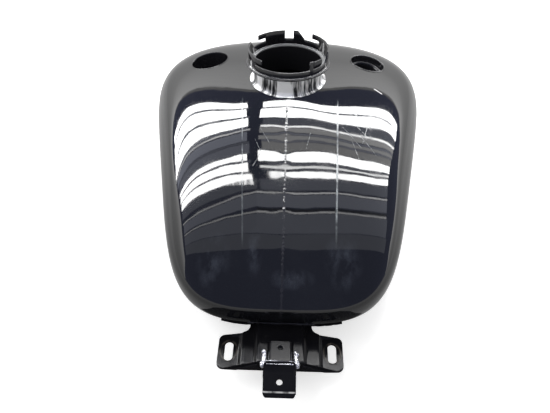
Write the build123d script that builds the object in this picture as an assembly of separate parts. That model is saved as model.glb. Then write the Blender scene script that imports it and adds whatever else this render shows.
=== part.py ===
from build123d import *
from math import cos, pi, radians, sin, tan
import os

# Bare steel fuel tank of a cruiser motorcycle: two stamped side shells welded along the top,
# a saddle tunnel and two floor pans below, a pump neck with a cam-lock ring on the crown,
# a filler neck on the rider's right, a gauge cup on the left and a slotted bracket at the rear.
# Millimetres. +Z is up, +Y points to the front of the motorcycle, +X to the rider's right.
# The origin is on the surface that the tank stands on, under the middle of its length.

# ---------------------------------------------------------------- body
WALL = 1.5                  # sheet steel of the shells, tunnel and pans
CLEAR = 0.05                # gap between pieces that only touch
FRONT_REACH = 184.0         # pump axis to the front of the body
REAR_REACH = 339.0          # pump axis to the rear of the body
TAB_REACH = 416.5           # pump axis to the tip of the console tab
PUMP_Y = (TAB_REACH - FRONT_REACH) / 2
HALF_WIDTH = 187.0          # at the pump axis
EQUATOR_Z = 69.0            # height of the widest line
CROWN_Z = 162.0             # top of the shells at the pump axis
UNDER_DEPTH = 89.0          # depth scale of the part that curves under
PLAN_POWER = (3.08, -0.61)  # superellipse power of the plan, and its change from side to front
CROWN_POWER = (2.9, 0.79)   # the same for the upright sections above the widest line
UNDER_POWER = 2.4
WIDTH_TERMS = (0.26, -0.195, -0.31)     # width against the place along the tank
CROWN_TERMS = (0.08, -0.27)             # crown height against the place along the tank
NECK_TILT = 0.12            # the first ring of the body, hidden under the pump neck
LAST_TILT = 2.5             # the last ring, below the lower edge

RIM_LAP = 6.0               # the pans' flange shows this far below the shells
REAR_RISE = 30.0            # how far the lower edge lifts towards the rear
REAR_RISE_START = 85.0      # behind the pump axis
FRONT_RISE = 10.0
FRONT_RISE_START = 75.0     # ahead of the pump axis
FLOOR_LIFT = 11.0           # underside of the floor pans above the flange's lower edge

SEAM_HALF = 2.0             # weld seam along the top
SEAM_HEIGHT = 0.35

# ---------------------------------------------------------------- tunnel
TUNNEL_REAR_Y = -240.0
TUNNEL_BEND_Y = -150.0      # the roof is level behind this line
TUNNEL_FRONT_Y = 310.0
TUNNEL_HALF_REAR = 37.0
TUNNEL_HALF_FRONT = 48.0
TUNNEL_TOP_REAR = 48.0
TUNNEL_TOP_FRONT = 100.0
TUNNEL_CORNER = 12.0
TUNNEL_LOW = -20.0

# ---------------------------------------------------------------- pump neck
NECK_BORE = 45.0            # radius of the clear opening for the pump module
NECK_OUTER = 46.4
NECK_BOTTOM_Z = 150.0
NECK_FLANGE_R = 56.0
NECK_TOP_Z = 186.0
FLANGE_SHEET = 1.6
RING_WALL_R = 53.5          # outside of the cam ring's wall
RING_SHEET = 1.6
RING_LOW_Z = 195.0          # top of the low wall between the hooks
RING_SLOT_Z = 200.0         # underside of the hooks
RING_HIGH_Z = 206.5         # top of the hooks
HOOK_TIPS = (52.0, 142.0, 232.0, 322.0)
HOOK_LENGTH = 14.5          # degrees under which the slot runs
HOOK_GAP = 13.0             # degrees from a tip to the foot of the next rise
HOOK_RISE = 11.0            # degrees that the slanted rise takes

# ---------------------------------------------------------------- filler neck and gauge cup
SIDE_TILT = 32.8            # place on the crown, degrees from the pump axis
SIDE_AHEAD = 23.0           # and degrees ahead of the side
FILLER_HOLE = 25.5
FILLER_DEPTH = 10.0
FILLER_TUBE = 17.2
FILLER_TUBE_LENGTH = 34.0
GAUGE_HOLE = 27.5
GAUGE_DEPTH = 40.0
CONDUIT_R = 6.0
SIDE_PROUD = 0.6            # the lips stand this far out of the shell

# ---------------------------------------------------------------- rear bracket and console tab
BRACKET_SHEET = 3.0
CHANNEL_Z = 44.4
CHANNEL_HALF = 24.0
PLATEAU_Z = 39.0
EAR_Z = 33.5
EAR_SPAN = 65.3
EAR_FRONT_Y = PUMP_Y - 339.5
EAR_REAR_Y = PUMP_Y - 381.5
EAR_CORNER = 7.0
ROOT_HALF = 33.0
ROOT_FRONT_Y = -142.0
ROOT_REAR_Y = -212.0        # rear end of the reinforcement plate above the root
ROOT_FILLET = 8.5
SLOT_X = 54.0
SLOT_Y = PUMP_Y - 360.0
SLOT_WIDTH = 9.0
SLOT_LENGTH = 25.0
TAB_SHEET = 2.5
TAB_HALF = 16.0
TAB_TOP_Z = 50.0
TAB_BOX_HALF = 10.25
TAB_BOX_FOOT = 13.5
TAB_BOX_FRONT_Y = PUMP_Y - 356.0
TAB_STEP_Y = PUMP_Y - 385.0
TAB_END_Y = PUMP_Y - TAB_REACH
TAB_HOLE_Y = PUMP_Y - 402.5
TAB_HOLE_R = 3.2
DIMPLE_Y = PUMP_Y - 367.0
DIMPLE_R = 2.6

# ---------------------------------------------------------------- fittings inside and below
FRONT_MOUNT_Y = 250.0
FRONT_BOLT_X = 25.0
BRIDGE_Z = 79.0
BRIDGE_LENGTH = 44.0
BRIDGE_DEPTH = 20.0
NUT_R = 8.0
NUT_HEIGHT = 10.0
THREAD_R = 3.4
VENT_PLACE = (78.0, 40.0)
VENT_R = 4.0
VENT_TOP_Z = 138.0
NIPPLE_R = 3.0
NIPPLE_STEM_R = 2.6         # where it passes through the floor pan
BAFFLE_SHEET = 1.2
BAFFLE_Y = {"front_baffle": 20.0, "rear_baffle": -95.0}
BAFFLE_HOLES = ((75, 95, 20), (125, 70, 16), (85, 45, 13), (150, 105, 12))     # x, z, radius

BIG = 1200.0
RIGHT_HALF = (-pi / 2, pi / 2)
PARTS = {}


# ---------------------------------------------------------------- the body's surface
def unit_curve(angle, power):
    """Unit superellipse at an angle: its sine share and its cosine share."""
    scale = (abs(sin(angle)) ** power + abs(cos(angle)) ** power) ** (1 / power)
    return sin(angle) / scale, cos(angle) / scale


def surface_point(tilt, turn):
    """tilt is 0 on the crown and pi/2 on the widest line; turn is 0 at the right side and
    pi/2 at the front."""
    along, across = unit_curve(turn, PLAN_POWER[0] + PLAN_POWER[1] * sin(turn))
    power = CROWN_POWER[0] + CROWN_POWER[1] * sin(turn) if tilt <= pi / 2 else UNDER_POWER
    out, up = unit_curve(tilt, power)
    u, v = out * across, out * along
    y = (FRONT_REACH + REAR_REACH) / 2 * v + (FRONT_REACH - REAR_REACH) / 2 * v**2
    width = 1 + WIDTH_TERMS[0] * v + WIDTH_TERMS[1] * v**2 + WIDTH_TERMS[2] * v**3
    crown = 1 + CROWN_TERMS[0] * v + CROWN_TERMS[1] * v**2
    height = (CROWN_Z - EQUATOR_Z) * crown if up > 0 else UNDER_DEPTH
    return Vector(HALF_WIDTH * width * u, y + PUMP_Y, EQUATOR_Z + height * up)


def surface_normal(tilt, turn):
    step = 1e-4
    here = surface_point(tilt, turn)
    down = surface_point(tilt + step, turn) - here
    ahead = surface_point(tilt, turn + step) - here
    return down.cross(ahead).normalized()


def body_point(tilt, turn, inset=0.0):
    """A point of the surface, moved inwards along the normal by inset."""
    return surface_point(tilt, turn) - surface_normal(tilt, turn) * inset


def tilt_steps(first, last, count):
    return [first + (last - first) * i / (count - 1) for i in range(count)]


def patch(first, last, turns, rings=20, inset=0.0, count=24):
    """A stretch of the body's surface as one smooth face, between two tilts and two turns."""
    wires = []
    for tilt in tilt_steps(first, last, rings):
        line = [turns[0] + (turns[1] - turns[0]) * i / count for i in range(count + 1)]
        wires.append(Wire([Edge.make_spline([body_point(tilt, turn, inset) for turn in line])]))
    return Shell.make_loft(wires).faces()[0]


def thickened(face, inwards):
    """The face as a sheet on its inner side, or on its outer side when inwards is negative."""
    normal, middle = face.normal_at(face.center()), Vector(0, PUMP_Y - 80, EQUATOR_Z)
    points_out = normal.dot(face.center() - middle) > 0
    return Solid.thicken(face, -inwards if points_out else inwards)


def solve(function, low, high):
    """Where a rising function crosses zero."""
    for _ in range(40):
        middle = (low + high) / 2
        low, high = (low, middle) if function(middle) > 0 else (middle, high)
    return (low + high) / 2


def section_points(y, inset, first_gap=0.0, last=2.3):
    """Points of the body's outline across the tank at one y, from the crown down the right side."""
    end = pi / 2 if y > PUMP_Y else -pi / 2
    toward = 1 if y > PUMP_Y else -1
    start = solve(lambda tilt: toward * (surface_point(tilt, end).Y - y), 0.01, pi / 2)
    points = []
    for tilt in tilt_steps(start + 1e-4 + first_gap, last, 14):
        turn = solve(lambda angle: surface_point(tilt, angle).Y - y, -pi / 2, pi / 2)
        point = body_point(tilt, turn, inset)
        points.append(Vector(max(point.X, 0), y, point.Z))
    return points


def floor_outline(inset):
    """Plan of a floor pan's outer edge on the right side, from the rear to the front."""
    points = []
    for i in range(37):
        turn = pi * (i / 36 - 0.5)

        def above_floor(tilt):
            point = body_point(tilt, turn, inset)
            return edge_height(point.Y) + FLOOR_LIFT + WALL / 2 - point.Z

        point = body_point(solve(above_floor, pi / 2, LAST_TILT), turn, inset)
        points.append(Vector(max(point.X, 0), point.Y, 0))
    return points


def smooth(share):
    share = min(1.0, max(0.0, share))
    return share * share * (3 - 2 * share)


def edge_height(y):
    """Height of the flange's lower edge above the ground."""
    behind = (PUMP_Y - y - REAR_RISE_START) / (REAR_REACH - REAR_RISE_START)
    ahead = (y - PUMP_Y - FRONT_RISE_START) / (FRONT_REACH - FRONT_RISE_START)
    return REAR_RISE * smooth(behind) + FRONT_RISE * smooth(ahead)


def below_edge(lift):
    """Everything below the flange's lower edge, lifted by lift."""
    rear_y, front_y = PUMP_Y - REAR_REACH, PUMP_Y + FRONT_REACH
    rear_flat, front_flat = PUMP_Y - REAR_RISE_START, PUMP_Y + FRONT_RISE_START
    level = (0, 1, 0)

    def stretch(start, end, count):
        ys = [start + (end - start) * i / count for i in range(count + 1)]
        points = [(0, y, edge_height(y) + lift) for y in ys]
        return Edge.make_spline(points, tangents=[level, level])

    rear_tip = (0, rear_y - 40, REAR_RISE + lift)
    front_tip = (0, front_y + 40, FRONT_RISE + lift)
    edges = [
        Edge.make_line(rear_tip, (0, rear_y, REAR_RISE + lift)),
        stretch(rear_y, rear_flat, 8),
        Edge.make_line((0, rear_flat, lift), (0, front_flat, lift)),
        stretch(front_flat, front_y, 5),
        Edge.make_line((0, front_y, FRONT_RISE + lift), front_tip),
        Edge.make_line(front_tip, (0, front_y + 40, -80)),
        Edge.make_line((0, front_y + 40, -80), (0, rear_y - 40, -80)),
        Edge.make_line((0, rear_y - 40, -80), rear_tip),
    ]
    solid = Solid.extrude(Face(Wire(edges)), Vector(BIG, 0, 0))
    return Pos(-BIG / 2, 0, 0) * solid


def mirrored(shape):
    return mirror(shape, about=Plane.YZ)


# ---------------------------------------------------------------- tunnel
def tunnel_half_at(y):
    share = (y - TUNNEL_REAR_Y) / (TUNNEL_FRONT_Y - TUNNEL_REAR_Y)
    return TUNNEL_HALF_REAR + share * (TUNNEL_HALF_FRONT - TUNNEL_HALF_REAR)


def tunnel_space(inset):
    """The space under the saddle tunnel, its surface moved inwards by inset."""
    tops = {
        TUNNEL_REAR_Y: TUNNEL_TOP_REAR,
        TUNNEL_BEND_Y: TUNNEL_TOP_REAR,
        TUNNEL_FRONT_Y: TUNNEL_TOP_FRONT,
    }
    wires = []
    for y, top in tops.items():
        half, roof = tunnel_half_at(y) - inset, top - inset
        corner = TUNNEL_CORNER - inset
        bend = corner * (1 - cos(pi / 4))
        side, flat = roof - corner, half - corner
        near, top_bend = half - bend, roof - bend
        wires.append(Wire([
            Edge.make_line((half, y, TUNNEL_LOW), (half, y, side)),
            Edge.make_three_point_arc((half, y, side), (near, y, top_bend), (flat, y, roof)),
            Edge.make_line((flat, y, roof), (-flat, y, roof)),
            Edge.make_three_point_arc((-flat, y, roof), (-near, y, top_bend), (-half, y, side)),
            Edge.make_line((-half, y, side), (-half, y, TUNNEL_LOW)),
            Edge.make_line((-half, y, TUNNEL_LOW), (half, y, TUNNEL_LOW)),
        ]))
    return Solid.make_loft(wires, ruled=True)


# ---------------------------------------------------------------- general shapes
def turned(profile):
    """A ring turned about Z from an outline of (radius, height) points."""
    outline = Wire.make_polygon([(r, 0, z) for r, z in profile], close=True)
    return revolve(Face(outline), Axis.Z)


def sheet_outline(points, thickness):
    """Closed outline of a folded sheet: a line of points, and the same line moved to its
    right by the thickness with mitred corners."""
    steps = [Vector(*b) - Vector(*a) for a, b in zip(points, points[1:])]
    rights = [Vector(s.Y, -s.X).normalized() for s in steps]
    moved = []
    for i, point in enumerate(points):
        before, after = rights[max(i - 1, 0)], rights[min(i, len(rights) - 1)]
        mitre = (before + after) * (thickness / (1 + before.dot(after)))
        moved.append(((Vector(*point) + mitre).X, (Vector(*point) + mitre).Y))
    return list(points) + moved[::-1]


def folded_across(points, thickness, y_from, y_to):
    """A folded sheet whose section lies across the tank, as (x, z) points from -X to +X."""
    outline = [(x, y_from, z) for x, z in sheet_outline(points, thickness)]
    return Solid.extrude(Face(Wire.make_polygon(outline, close=True)), Vector(0, y_to - y_from, 0))


def folded_along(points, thickness, half_width):
    """A folded sheet whose section lies along the tank, as (y, z) points from rear to front."""
    outline = [(-half_width, y, z) for y, z in sheet_outline(points, thickness)]
    return Solid.extrude(Face(Wire.make_polygon(outline, close=True)), Vector(2 * half_width, 0, 0))


def side_place(side):
    """A frame on the crown over one side of the tank, its Z axis along the outward normal."""
    tilt, turn = radians(SIDE_TILT), radians(SIDE_AHEAD)
    point, normal = surface_point(tilt, turn), surface_normal(tilt, turn)
    origin = Vector(side * point.X, point.Y, point.Z)
    return Plane(origin=origin, x_dir=(0, 1, 0), z_dir=(side * normal.X, normal.Y, normal.Z)).location


def drill(radius, low, high):
    return Pos(0, 0, (low + high) / 2) * Cylinder(radius, high - low)


# ---------------------------------------------------------------- sub-parts
def make_shells(tunnel_outer):
    skin = patch(NECK_TILT, LAST_TILT, RIGHT_HALF)
    sheet = Pos(CLEAR / 2 + 0.02, 0, 0) * thickened(skin, WALL)
    neck = Pos(0, PUMP_Y, 0) * drill(NECK_OUTER + CLEAR, 100, 250)
    half = sheet.cut(below_edge(RIM_LAP), tunnel_outer, neck)
    PARTS["right_shell"] = half - side_place(1) * drill(FILLER_HOLE + CLEAR, -30, 30)
    PARTS["left_shell"] = mirrored(half) - side_place(-1) * drill(GAUGE_HOLE + CLEAR, -30, 30)


def make_pans(tunnel_outer):
    """Each pan is a floor sheet with a flange that laps inside the shell's lower edge."""
    lap = patch(1.75, LAST_TILT, RIGHT_HALF, rings=8, inset=WALL + CLEAR)
    flange = Pos(CLEAR / 2 + 0.02, 0, 0) * thickened(lap, WALL)
    edge = floor_outline(1.5 * WALL + CLEAR)
    plan = Face(Wire([Edge.make_spline(edge), Edge.make_line(edge[-1], edge[0])]))
    floor = (below_edge(FLOOR_LIFT + WALL) - below_edge(FLOOR_LIFT)) & extrude(plan, 100)
    flange = (flange & below_edge(FLOOR_LIFT + WALL)) - below_edge(0)
    pan = (flange + floor) - tunnel_outer
    x, y = VENT_PLACE
    PARTS["right_floor_pan"] = pan - Pos(x, y, 0) * drill(NIPPLE_STEM_R + CLEAR, -50, 60)
    PARTS["left_floor_pan"] = mirrored(pan) - side_place(-1) * drill(CONDUIT_R + WALL + CLEAR, -220, -60)


def make_tunnel():
    """The tunnel's ends are trimmed flush with the body's surface, front and rear."""
    sheet = tunnel_space(0) - tunnel_space(WALL) - below_edge(FLOOR_LIFT)
    for end, last in ((-pi / 2, 2.05), (pi / 2, 2.3)):
        face = patch(1.1, last, (end - 0.45, end + 0.45), rings=14, count=12)
        pieces = sheet.solids()[0].split(face, keep=Keep.ALL)
        sheet = max(pieces.solids(), key=lambda solid: solid.volume)
    PARTS["saddle_tunnel"] = sheet


def make_top_seam():
    """Two flat beads that follow the surface along the middle plane."""
    beads = []
    for turn, first, last in ((-pi / 2, 0.245, 2.05), (pi / 2, 0.56, 1.62)):
        tilts = tilt_steps(first, last, 16)
        low = [body_point(tilt, turn, -CLEAR) for tilt in tilts]
        high = [body_point(tilt, turn, -SEAM_HEIGHT) for tilt in tilts]
        low, high = ([Vector(-SEAM_HALF, p.Y, p.Z) for p in line] for line in (low, high))
        outline = Wire([
            Edge.make_spline(low), Edge.make_line(low[-1], high[-1]),
            Edge.make_spline(high), Edge.make_line(high[0], low[0]),
        ])
        beads.append(Solid.extrude(Face(outline), Vector(2 * SEAM_HALF, 0, 0)))
    PARTS["top_seam_weld"] = Compound(beads)


def radial_cut(angle, outline):
    """A cutter through the ring's wall: an outline of (degrees from angle, height) points."""
    middle = RING_WALL_R - RING_SHEET / 2
    points = [(middle - 8, middle * tan(radians(a)), z) for a, z in outline]
    cutter = Solid.extrude(Face(Wire.make_polygon(points, close=True)), Vector(16, 0, 0))
    return Rot(0, 0, angle) * cutter


def make_pump_neck():
    base = NECK_TOP_Z + CLEAR
    PARTS["pump_neck_collar"] = Pos(0, PUMP_Y, 0) * turned([
        (NECK_BORE, NECK_BOTTOM_Z), (NECK_OUTER, NECK_BOTTOM_Z),
        (NECK_OUTER, NECK_TOP_Z - FLANGE_SHEET - 1.5), (NECK_OUTER + 1.5, NECK_TOP_Z - FLANGE_SHEET),
        (NECK_FLANGE_R, NECK_TOP_Z - FLANGE_SHEET), (NECK_FLANGE_R, NECK_TOP_Z), (NECK_BORE, NECK_TOP_Z),
    ])
    weld = turned([(NECK_OUTER + CLEAR, CROWN_Z + 3), (NECK_OUTER + 4, CROWN_Z - 1.5),
                   (NECK_OUTER + 4, CROWN_Z - 4), (NECK_OUTER + CLEAR, CROWN_Z - 4)])
    crown = patch(0.15, 0.5, (-pi / 2 - 0.15, pi / 2 + 0.15), rings=6, inset=-CLEAR, count=12)
    under_crown = thickened(crown, 12)
    PARTS["pump_neck_weld"] = Pos(0, PUMP_Y, 0) * weld - under_crown - mirrored(under_crown)
    inside = RING_WALL_R - RING_SHEET
    ring = turned([(inside, base), (NECK_FLANGE_R - 0.8, base), (NECK_FLANGE_R - 0.8, base + 1.2),
                   (RING_WALL_R, base + 1.2), (RING_WALL_R, RING_HIGH_Z), (inside, RING_HIGH_Z)])
    above = RING_HIGH_Z + 1
    for tip in HOOK_TIPS:
        foot = HOOK_GAP / 2
        ring -= radial_cut(tip + foot, [(-foot, RING_LOW_Z), (foot, RING_LOW_Z),
                                        (foot + HOOK_RISE, above), (-foot, above)])
        slot = HOOK_LENGTH / 2
        ring -= radial_cut(tip - slot, [(-slot, RING_LOW_Z), (slot + 1, RING_LOW_Z),
                                        (slot + 1, RING_SLOT_Z), (1.5 - slot, RING_SLOT_Z),
                                        (-slot, RING_SLOT_Z - 1.5)])
    for middle, half in ((89.5, 6.5), (257.0, 13.0), (283.0, 19.0)):
        ring -= radial_cut(middle, [(-half, RING_LOW_Z), (half, RING_LOW_Z),
                                    (half, above), (-half, above)])
    PARTS["pump_cam_ring"] = Pos(0, PUMP_Y, 0) * ring
    PARTS["pump_seal_seat"] = Pos(0, PUMP_Y, 0) * turned([
        (NECK_BORE + 0.5, base), (inside - CLEAR, base), (inside - CLEAR, base + 1.2),
        (NECK_BORE + 3.4, base + 1.2), (NECK_BORE + 2.6, base + 2.4), (NECK_BORE + 1.2, base + 2.4),
        (NECK_BORE + 0.5, base + 1.6),
    ])


def over_crown(side):
    """The space just above the lip of the filler neck or the gauge cup."""
    tilt, turn = radians(SIDE_TILT), radians(SIDE_AHEAD)
    face = patch(tilt - 0.35, tilt + 0.4, (turn - 0.5, turn + 0.6), rings=7, inset=-SIDE_PROUD, count=8)
    space = thickened(face, -15)
    return space if side > 0 else mirrored(space)


def make_filler():
    floor, wall, seat_r = -FILLER_DEPTH, FILLER_HOLE - WALL, FILLER_TUBE + 0.4
    neck = turned([
        (FILLER_HOLE, 6), (wall, 6), (wall, floor),
        (FILLER_TUBE, floor), (FILLER_TUBE, -FILLER_TUBE_LENGTH),
        (FILLER_TUBE + WALL, -FILLER_TUBE_LENGTH), (FILLER_TUBE + WALL, floor - WALL),
        (FILLER_HOLE, floor - WALL),
    ])
    seat = turned([
        (seat_r, floor + CLEAR), (seat_r + 3.5, floor + CLEAR), (seat_r + 3.5, floor + 1.2),
        (seat_r + 2.4, floor + 2.2), (seat_r + 0.8, floor + 2.2), (seat_r, floor + 1.4),
    ])
    PARTS["filler_neck"] = side_place(1) * neck - over_crown(1)
    PARTS["filler_seat_ring"] = side_place(1) * seat


def make_gauge():
    floor, wall = -GAUGE_DEPTH, GAUGE_HOLE - WALL
    cup = turned([(GAUGE_HOLE, 6), (wall, 6), (wall, floor),
                  (CONDUIT_R, floor), (CONDUIT_R, floor - WALL), (GAUGE_HOLE, floor - WALL)])
    conduit = drill(CONDUIT_R + WALL, -220, floor - WALL - CLEAR) - drill(CONDUIT_R, -230, floor)
    PARTS["gauge_cup"] = side_place(-1) * cup - over_crown(-1)
    PARTS["gauge_wire_conduit"] = side_place(-1) * conduit - below_edge(FLOOR_LIFT - 2)


def make_rear_bracket():
    right = [(CHANNEL_HALF, CHANNEL_Z), (CHANNEL_HALF + 3, PLATEAU_Z), (40, PLATEAU_Z), (44, EAR_Z),
             (EAR_SPAN, EAR_Z)]
    section = [(-x, z) for x, z in right[::-1]] + right
    plate = folded_across(section, BRACKET_SHEET, EAR_REAR_Y, ROOT_FRONT_Y)
    ears_mid, root_mid = (EAR_FRONT_Y + EAR_REAR_Y) / 2, (EAR_REAR_Y + ROOT_FRONT_Y) / 2
    outline = Pos(0, ears_mid) * RectangleRounded(2 * EAR_SPAN, EAR_FRONT_Y - EAR_REAR_Y, EAR_CORNER)
    outline += Pos(0, root_mid) * Rectangle(2 * ROOT_HALF, ROOT_FRONT_Y - EAR_REAR_Y)
    corners = [v for v in outline.vertices()
               if abs(v.Y - EAR_FRONT_Y) < 0.01 and abs(abs(v.X) - ROOT_HALF) < 0.01]
    outline = fillet(corners, ROOT_FILLET)
    slot = SlotOverall(SLOT_LENGTH, SLOT_WIDTH, rotation=90)
    for x in (-SLOT_X, SLOT_X):
        outline -= Pos(x, SLOT_Y) * slot
    PARTS["rear_mount_bracket"] = plate & extrude(outline, 100)


def make_console_tab():
    foot = CHANNEL_Z + CLEAR
    box = folded_across([(-TAB_BOX_FOOT, foot), (-TAB_BOX_HALF, TAB_TOP_Z), (TAB_BOX_HALF, TAB_TOP_Z),
                         (TAB_BOX_FOOT, foot)], TAB_SHEET, TAB_STEP_Y - 0.8, TAB_BOX_FRONT_Y)
    front_wall = Pos(0, TAB_BOX_FRONT_Y - 1, (foot + TAB_TOP_Z) / 2 - 0.5) * Box(
        2 * TAB_BOX_HALF - 1, 2, TAB_TOP_Z - foot - 1)
    tongue = folded_along([
        (TAB_END_Y, TAB_TOP_Z - 14.4), (TAB_END_Y + 3, TAB_TOP_Z - 9.8),
        (TAB_STEP_Y - 3, TAB_TOP_Z - 4.1), (TAB_STEP_Y + 0.5, TAB_TOP_Z - 0.6),
    ], TAB_SHEET, TAB_HALF)
    space = Pos(0, PUMP_Y - 250, 0) * Box(BIG, BIG, 2 * foot)
    tongue -= space & Pos(0, BIG / 2 + EAR_REAR_Y - 0.5, 0) * Box(BIG, BIG, BIG)
    middle = (TAB_END_Y + TAB_STEP_Y) / 2 + 10
    plan = Pos(0, middle) * Rectangle(2 * TAB_HALF, TAB_STEP_Y - TAB_END_Y + 20)
    plan = fillet(plan.vertices().group_by(Axis.Y)[0], 3)
    tab = box + front_wall + (tongue & extrude(plan, 100))
    tab -= Pos(0, TAB_HOLE_Y, 0) * drill(TAB_HOLE_R, 0, 100)
    tab -= Pos(0, DIMPLE_Y, 0) * drill(DIMPLE_R, TAB_TOP_Z - 4, 100)
    PARTS["console_tab"] = tab


def bead_row(x, z, y_from, y_to, radius, spacing):
    count = round(abs(y_to - y_from) / spacing)
    step = (y_to - y_from) / count
    lumps = []
    for i in range(count + 1):
        lumps.append(Pos(x, y_from + step * i, z) * Sphere(radius * (1 + 0.12 * sin(2.3 * i))))
    return lumps[0].fuse(*lumps[1:])


def make_rear_welds():
    neighbours = [PARTS["rear_mount_bracket"], PARTS["console_tab"]]
    beads = []
    for side in (-1, 1):
        bead = bead_row(side * 16.8, CHANNEL_Z + 1.0, TAB_STEP_Y + 5, TAB_STEP_Y + 20, 3.1, 3.0)
        for other in neighbours:
            bead -= other
        beads.append(bead)
    PARTS["console_tab_welds"] = Compound([s for bead in beads for s in bead.solids() if s.volume > 5])
    roof = TUNNEL_TOP_REAR - WALL
    plate_length = ROOT_FRONT_Y - ROOT_REAR_Y
    gap = roof - CHANNEL_Z - 2 * CLEAR
    place = Pos(0, ROOT_REAR_Y + plate_length / 2, CHANNEL_Z + CLEAR + gap / 2)
    plate = place * Box(2 * CHANNEL_HALF - 6, plate_length, gap)
    PARTS["rear_reinforcement_plate"] = plate
    beads = []
    for side in (-1, 1):
        bead = bead_row(side * (CHANNEL_HALF + 0.6), CHANNEL_Z - 0.4, -205, -150, 1.9, 2.5)
        beads += [s for s in (bead - PARTS["rear_mount_bracket"] - plate).solids() if s.volume > 5]
    PARTS["rear_bracket_welds"] = Compound(beads)


def make_front_mounts():
    """A bridge across the tunnel's mouth, with a weld nut on it for each of the two bolts that
    come up from the frame."""
    middle = FRONT_MOUNT_Y
    half = tunnel_half_at(middle - BRIDGE_LENGTH / 2) - WALL - 0.1
    foot = BRIDGE_Z - BRIDGE_DEPTH
    section = [(-half, foot), (-half, BRIDGE_Z), (half, BRIDGE_Z), (half, foot)]
    bridge = folded_across(section, BRACKET_SHEET, middle - BRIDGE_LENGTH / 2, middle + BRIDGE_LENGTH / 2)
    nut = extrude(RegularPolygon(NUT_R, 6), NUT_HEIGHT) - drill(THREAD_R, -1, 50)
    for side, name in ((1, "front_weld_nut_right"), (-1, "front_weld_nut_left")):
        place = Pos(side * FRONT_BOLT_X, middle, 0)
        bridge -= place * drill(THREAD_R + 1.2, 0, 150)
        PARTS[name] = place * Pos(0, 0, BRIDGE_Z + CLEAR) * nut
    PARTS["front_mount_bridge"] = bridge


def make_vent():
    x, y = VENT_PLACE
    floor_top = FLOOR_LIFT + WALL + CLEAR
    PARTS["vent_tube"] = Pos(x, y, 0) * (drill(VENT_R, floor_top, VENT_TOP_Z) - drill(VENT_R - 1, 0, 200))
    nipple = turned([
        (1.9, 1.5), (NIPPLE_R - 0.6, 1.5), (NIPPLE_R, 2.4), (NIPPLE_R, FLOOR_LIFT - CLEAR),
        (NIPPLE_STEM_R, FLOOR_LIFT - CLEAR), (NIPPLE_STEM_R, floor_top - CLEAR),
        (1.9, floor_top - CLEAR),
    ])
    PARTS["vent_nipple"] = Pos(x, y, 0) * nipple


def make_baffles(tunnel_outer):
    """Upright plates across the tank, open at the top corners and along the floor."""
    for name, y in BAFFLE_Y.items():
        right = section_points(y, WALL + 2 * CLEAR, 0.004)
        right[0] = Vector(0, y, right[0].Z)
        low = Vector(0, y, right[-1].Z)
        edges = [Edge.make_spline(right), Edge.make_line(right[-1], low), Edge.make_line(low, right[0])]
        face = Face(Wire(edges))
        half = Solid.extrude(face, Vector(0, BAFFLE_SHEET, 0))
        plate = half + mirrored(half) - tunnel_outer - below_edge(FLOOR_LIFT + WALL + CLEAR)
        for side in (-1, 1):
            for x, z, radius in BAFFLE_HOLES:
                plate -= Pos(side * x, y, z) * Rot(90, 0, 0) * Cylinder(radius, 20)
        PARTS[name] = plate


def main():
    tunnel_outer = tunnel_space(-CLEAR)
    make_shells(tunnel_outer)
    make_pans(tunnel_outer)
    make_tunnel()
    make_top_seam()
    make_pump_neck()
    make_filler()
    make_gauge()
    make_rear_bracket()
    make_console_tab()
    make_rear_welds()
    make_front_mounts()
    make_vent()
    make_baffles(tunnel_outer)
    os.makedirs("parts", exist_ok=True)
    for name, shape in PARTS.items():
        export_step(shape, f"parts/{name}.step")
        box = shape.bounding_box()
        size = f"{shape.volume:10.0f} mm3 z {box.min.Z:.2f} {box.max.Z:.2f}"
        print(f"{name:26s} {len(shape.solids()):2d} solids {size}")


main()
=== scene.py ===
import math

import bmesh
import bpy
import numpy as np
from mathutils import Matrix, Vector, geometry, noise


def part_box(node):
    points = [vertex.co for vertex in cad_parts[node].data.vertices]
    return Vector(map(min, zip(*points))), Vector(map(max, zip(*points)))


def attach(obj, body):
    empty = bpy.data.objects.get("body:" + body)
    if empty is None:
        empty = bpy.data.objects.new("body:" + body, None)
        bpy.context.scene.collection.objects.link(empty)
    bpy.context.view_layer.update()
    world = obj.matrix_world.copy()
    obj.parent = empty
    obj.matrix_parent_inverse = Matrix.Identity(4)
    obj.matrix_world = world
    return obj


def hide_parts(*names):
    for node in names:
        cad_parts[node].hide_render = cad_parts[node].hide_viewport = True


# A bare steel cruiser fuel tank in gloss black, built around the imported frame.
# Lengths in the shape functions are millimetres, as in the part's source; MM turns them into metres.

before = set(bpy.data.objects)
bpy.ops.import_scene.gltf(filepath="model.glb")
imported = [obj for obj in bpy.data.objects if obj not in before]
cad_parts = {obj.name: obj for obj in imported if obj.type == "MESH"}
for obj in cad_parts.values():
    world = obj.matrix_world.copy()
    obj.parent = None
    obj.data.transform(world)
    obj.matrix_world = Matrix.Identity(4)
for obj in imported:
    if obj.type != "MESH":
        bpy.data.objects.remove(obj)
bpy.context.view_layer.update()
MM = 0.001
PI = math.pi

# ---- sizes, millimetres
FRONT_REACH, REAR_REACH = 184.0, 339.0      # pump axis to the ends of the body
HALF_WIDTH = 187.0
EQUATOR_Z, CROWN_Z, UNDER_DEPTH = 69.0, 162.0, 89.0
PLAN_POWER, CROWN_POWER, UNDER_POWER = (3.08, -0.61), (2.9, 0.79), 2.4
WIDTH_TERMS, CROWN_TERMS = (0.26, -0.195, -0.31), (0.08, -0.27)
WALL = 1.5
RIM_LAP = 6.0
REAR_RISE, REAR_RISE_START = 30.0, 85.0
FRONT_RISE, FRONT_RISE_START = 10.0, 75.0
SIDE_TILT, SIDE_AHEAD = math.radians(32.8), math.radians(23.0)
FILLER_HOLE, FILLER_TUBE, FILLER_DEPTH = 25.5, 17.2, 10.0
GAUGE_HOLE, GAUGE_DEPTH = 27.5, 40.0
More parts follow.
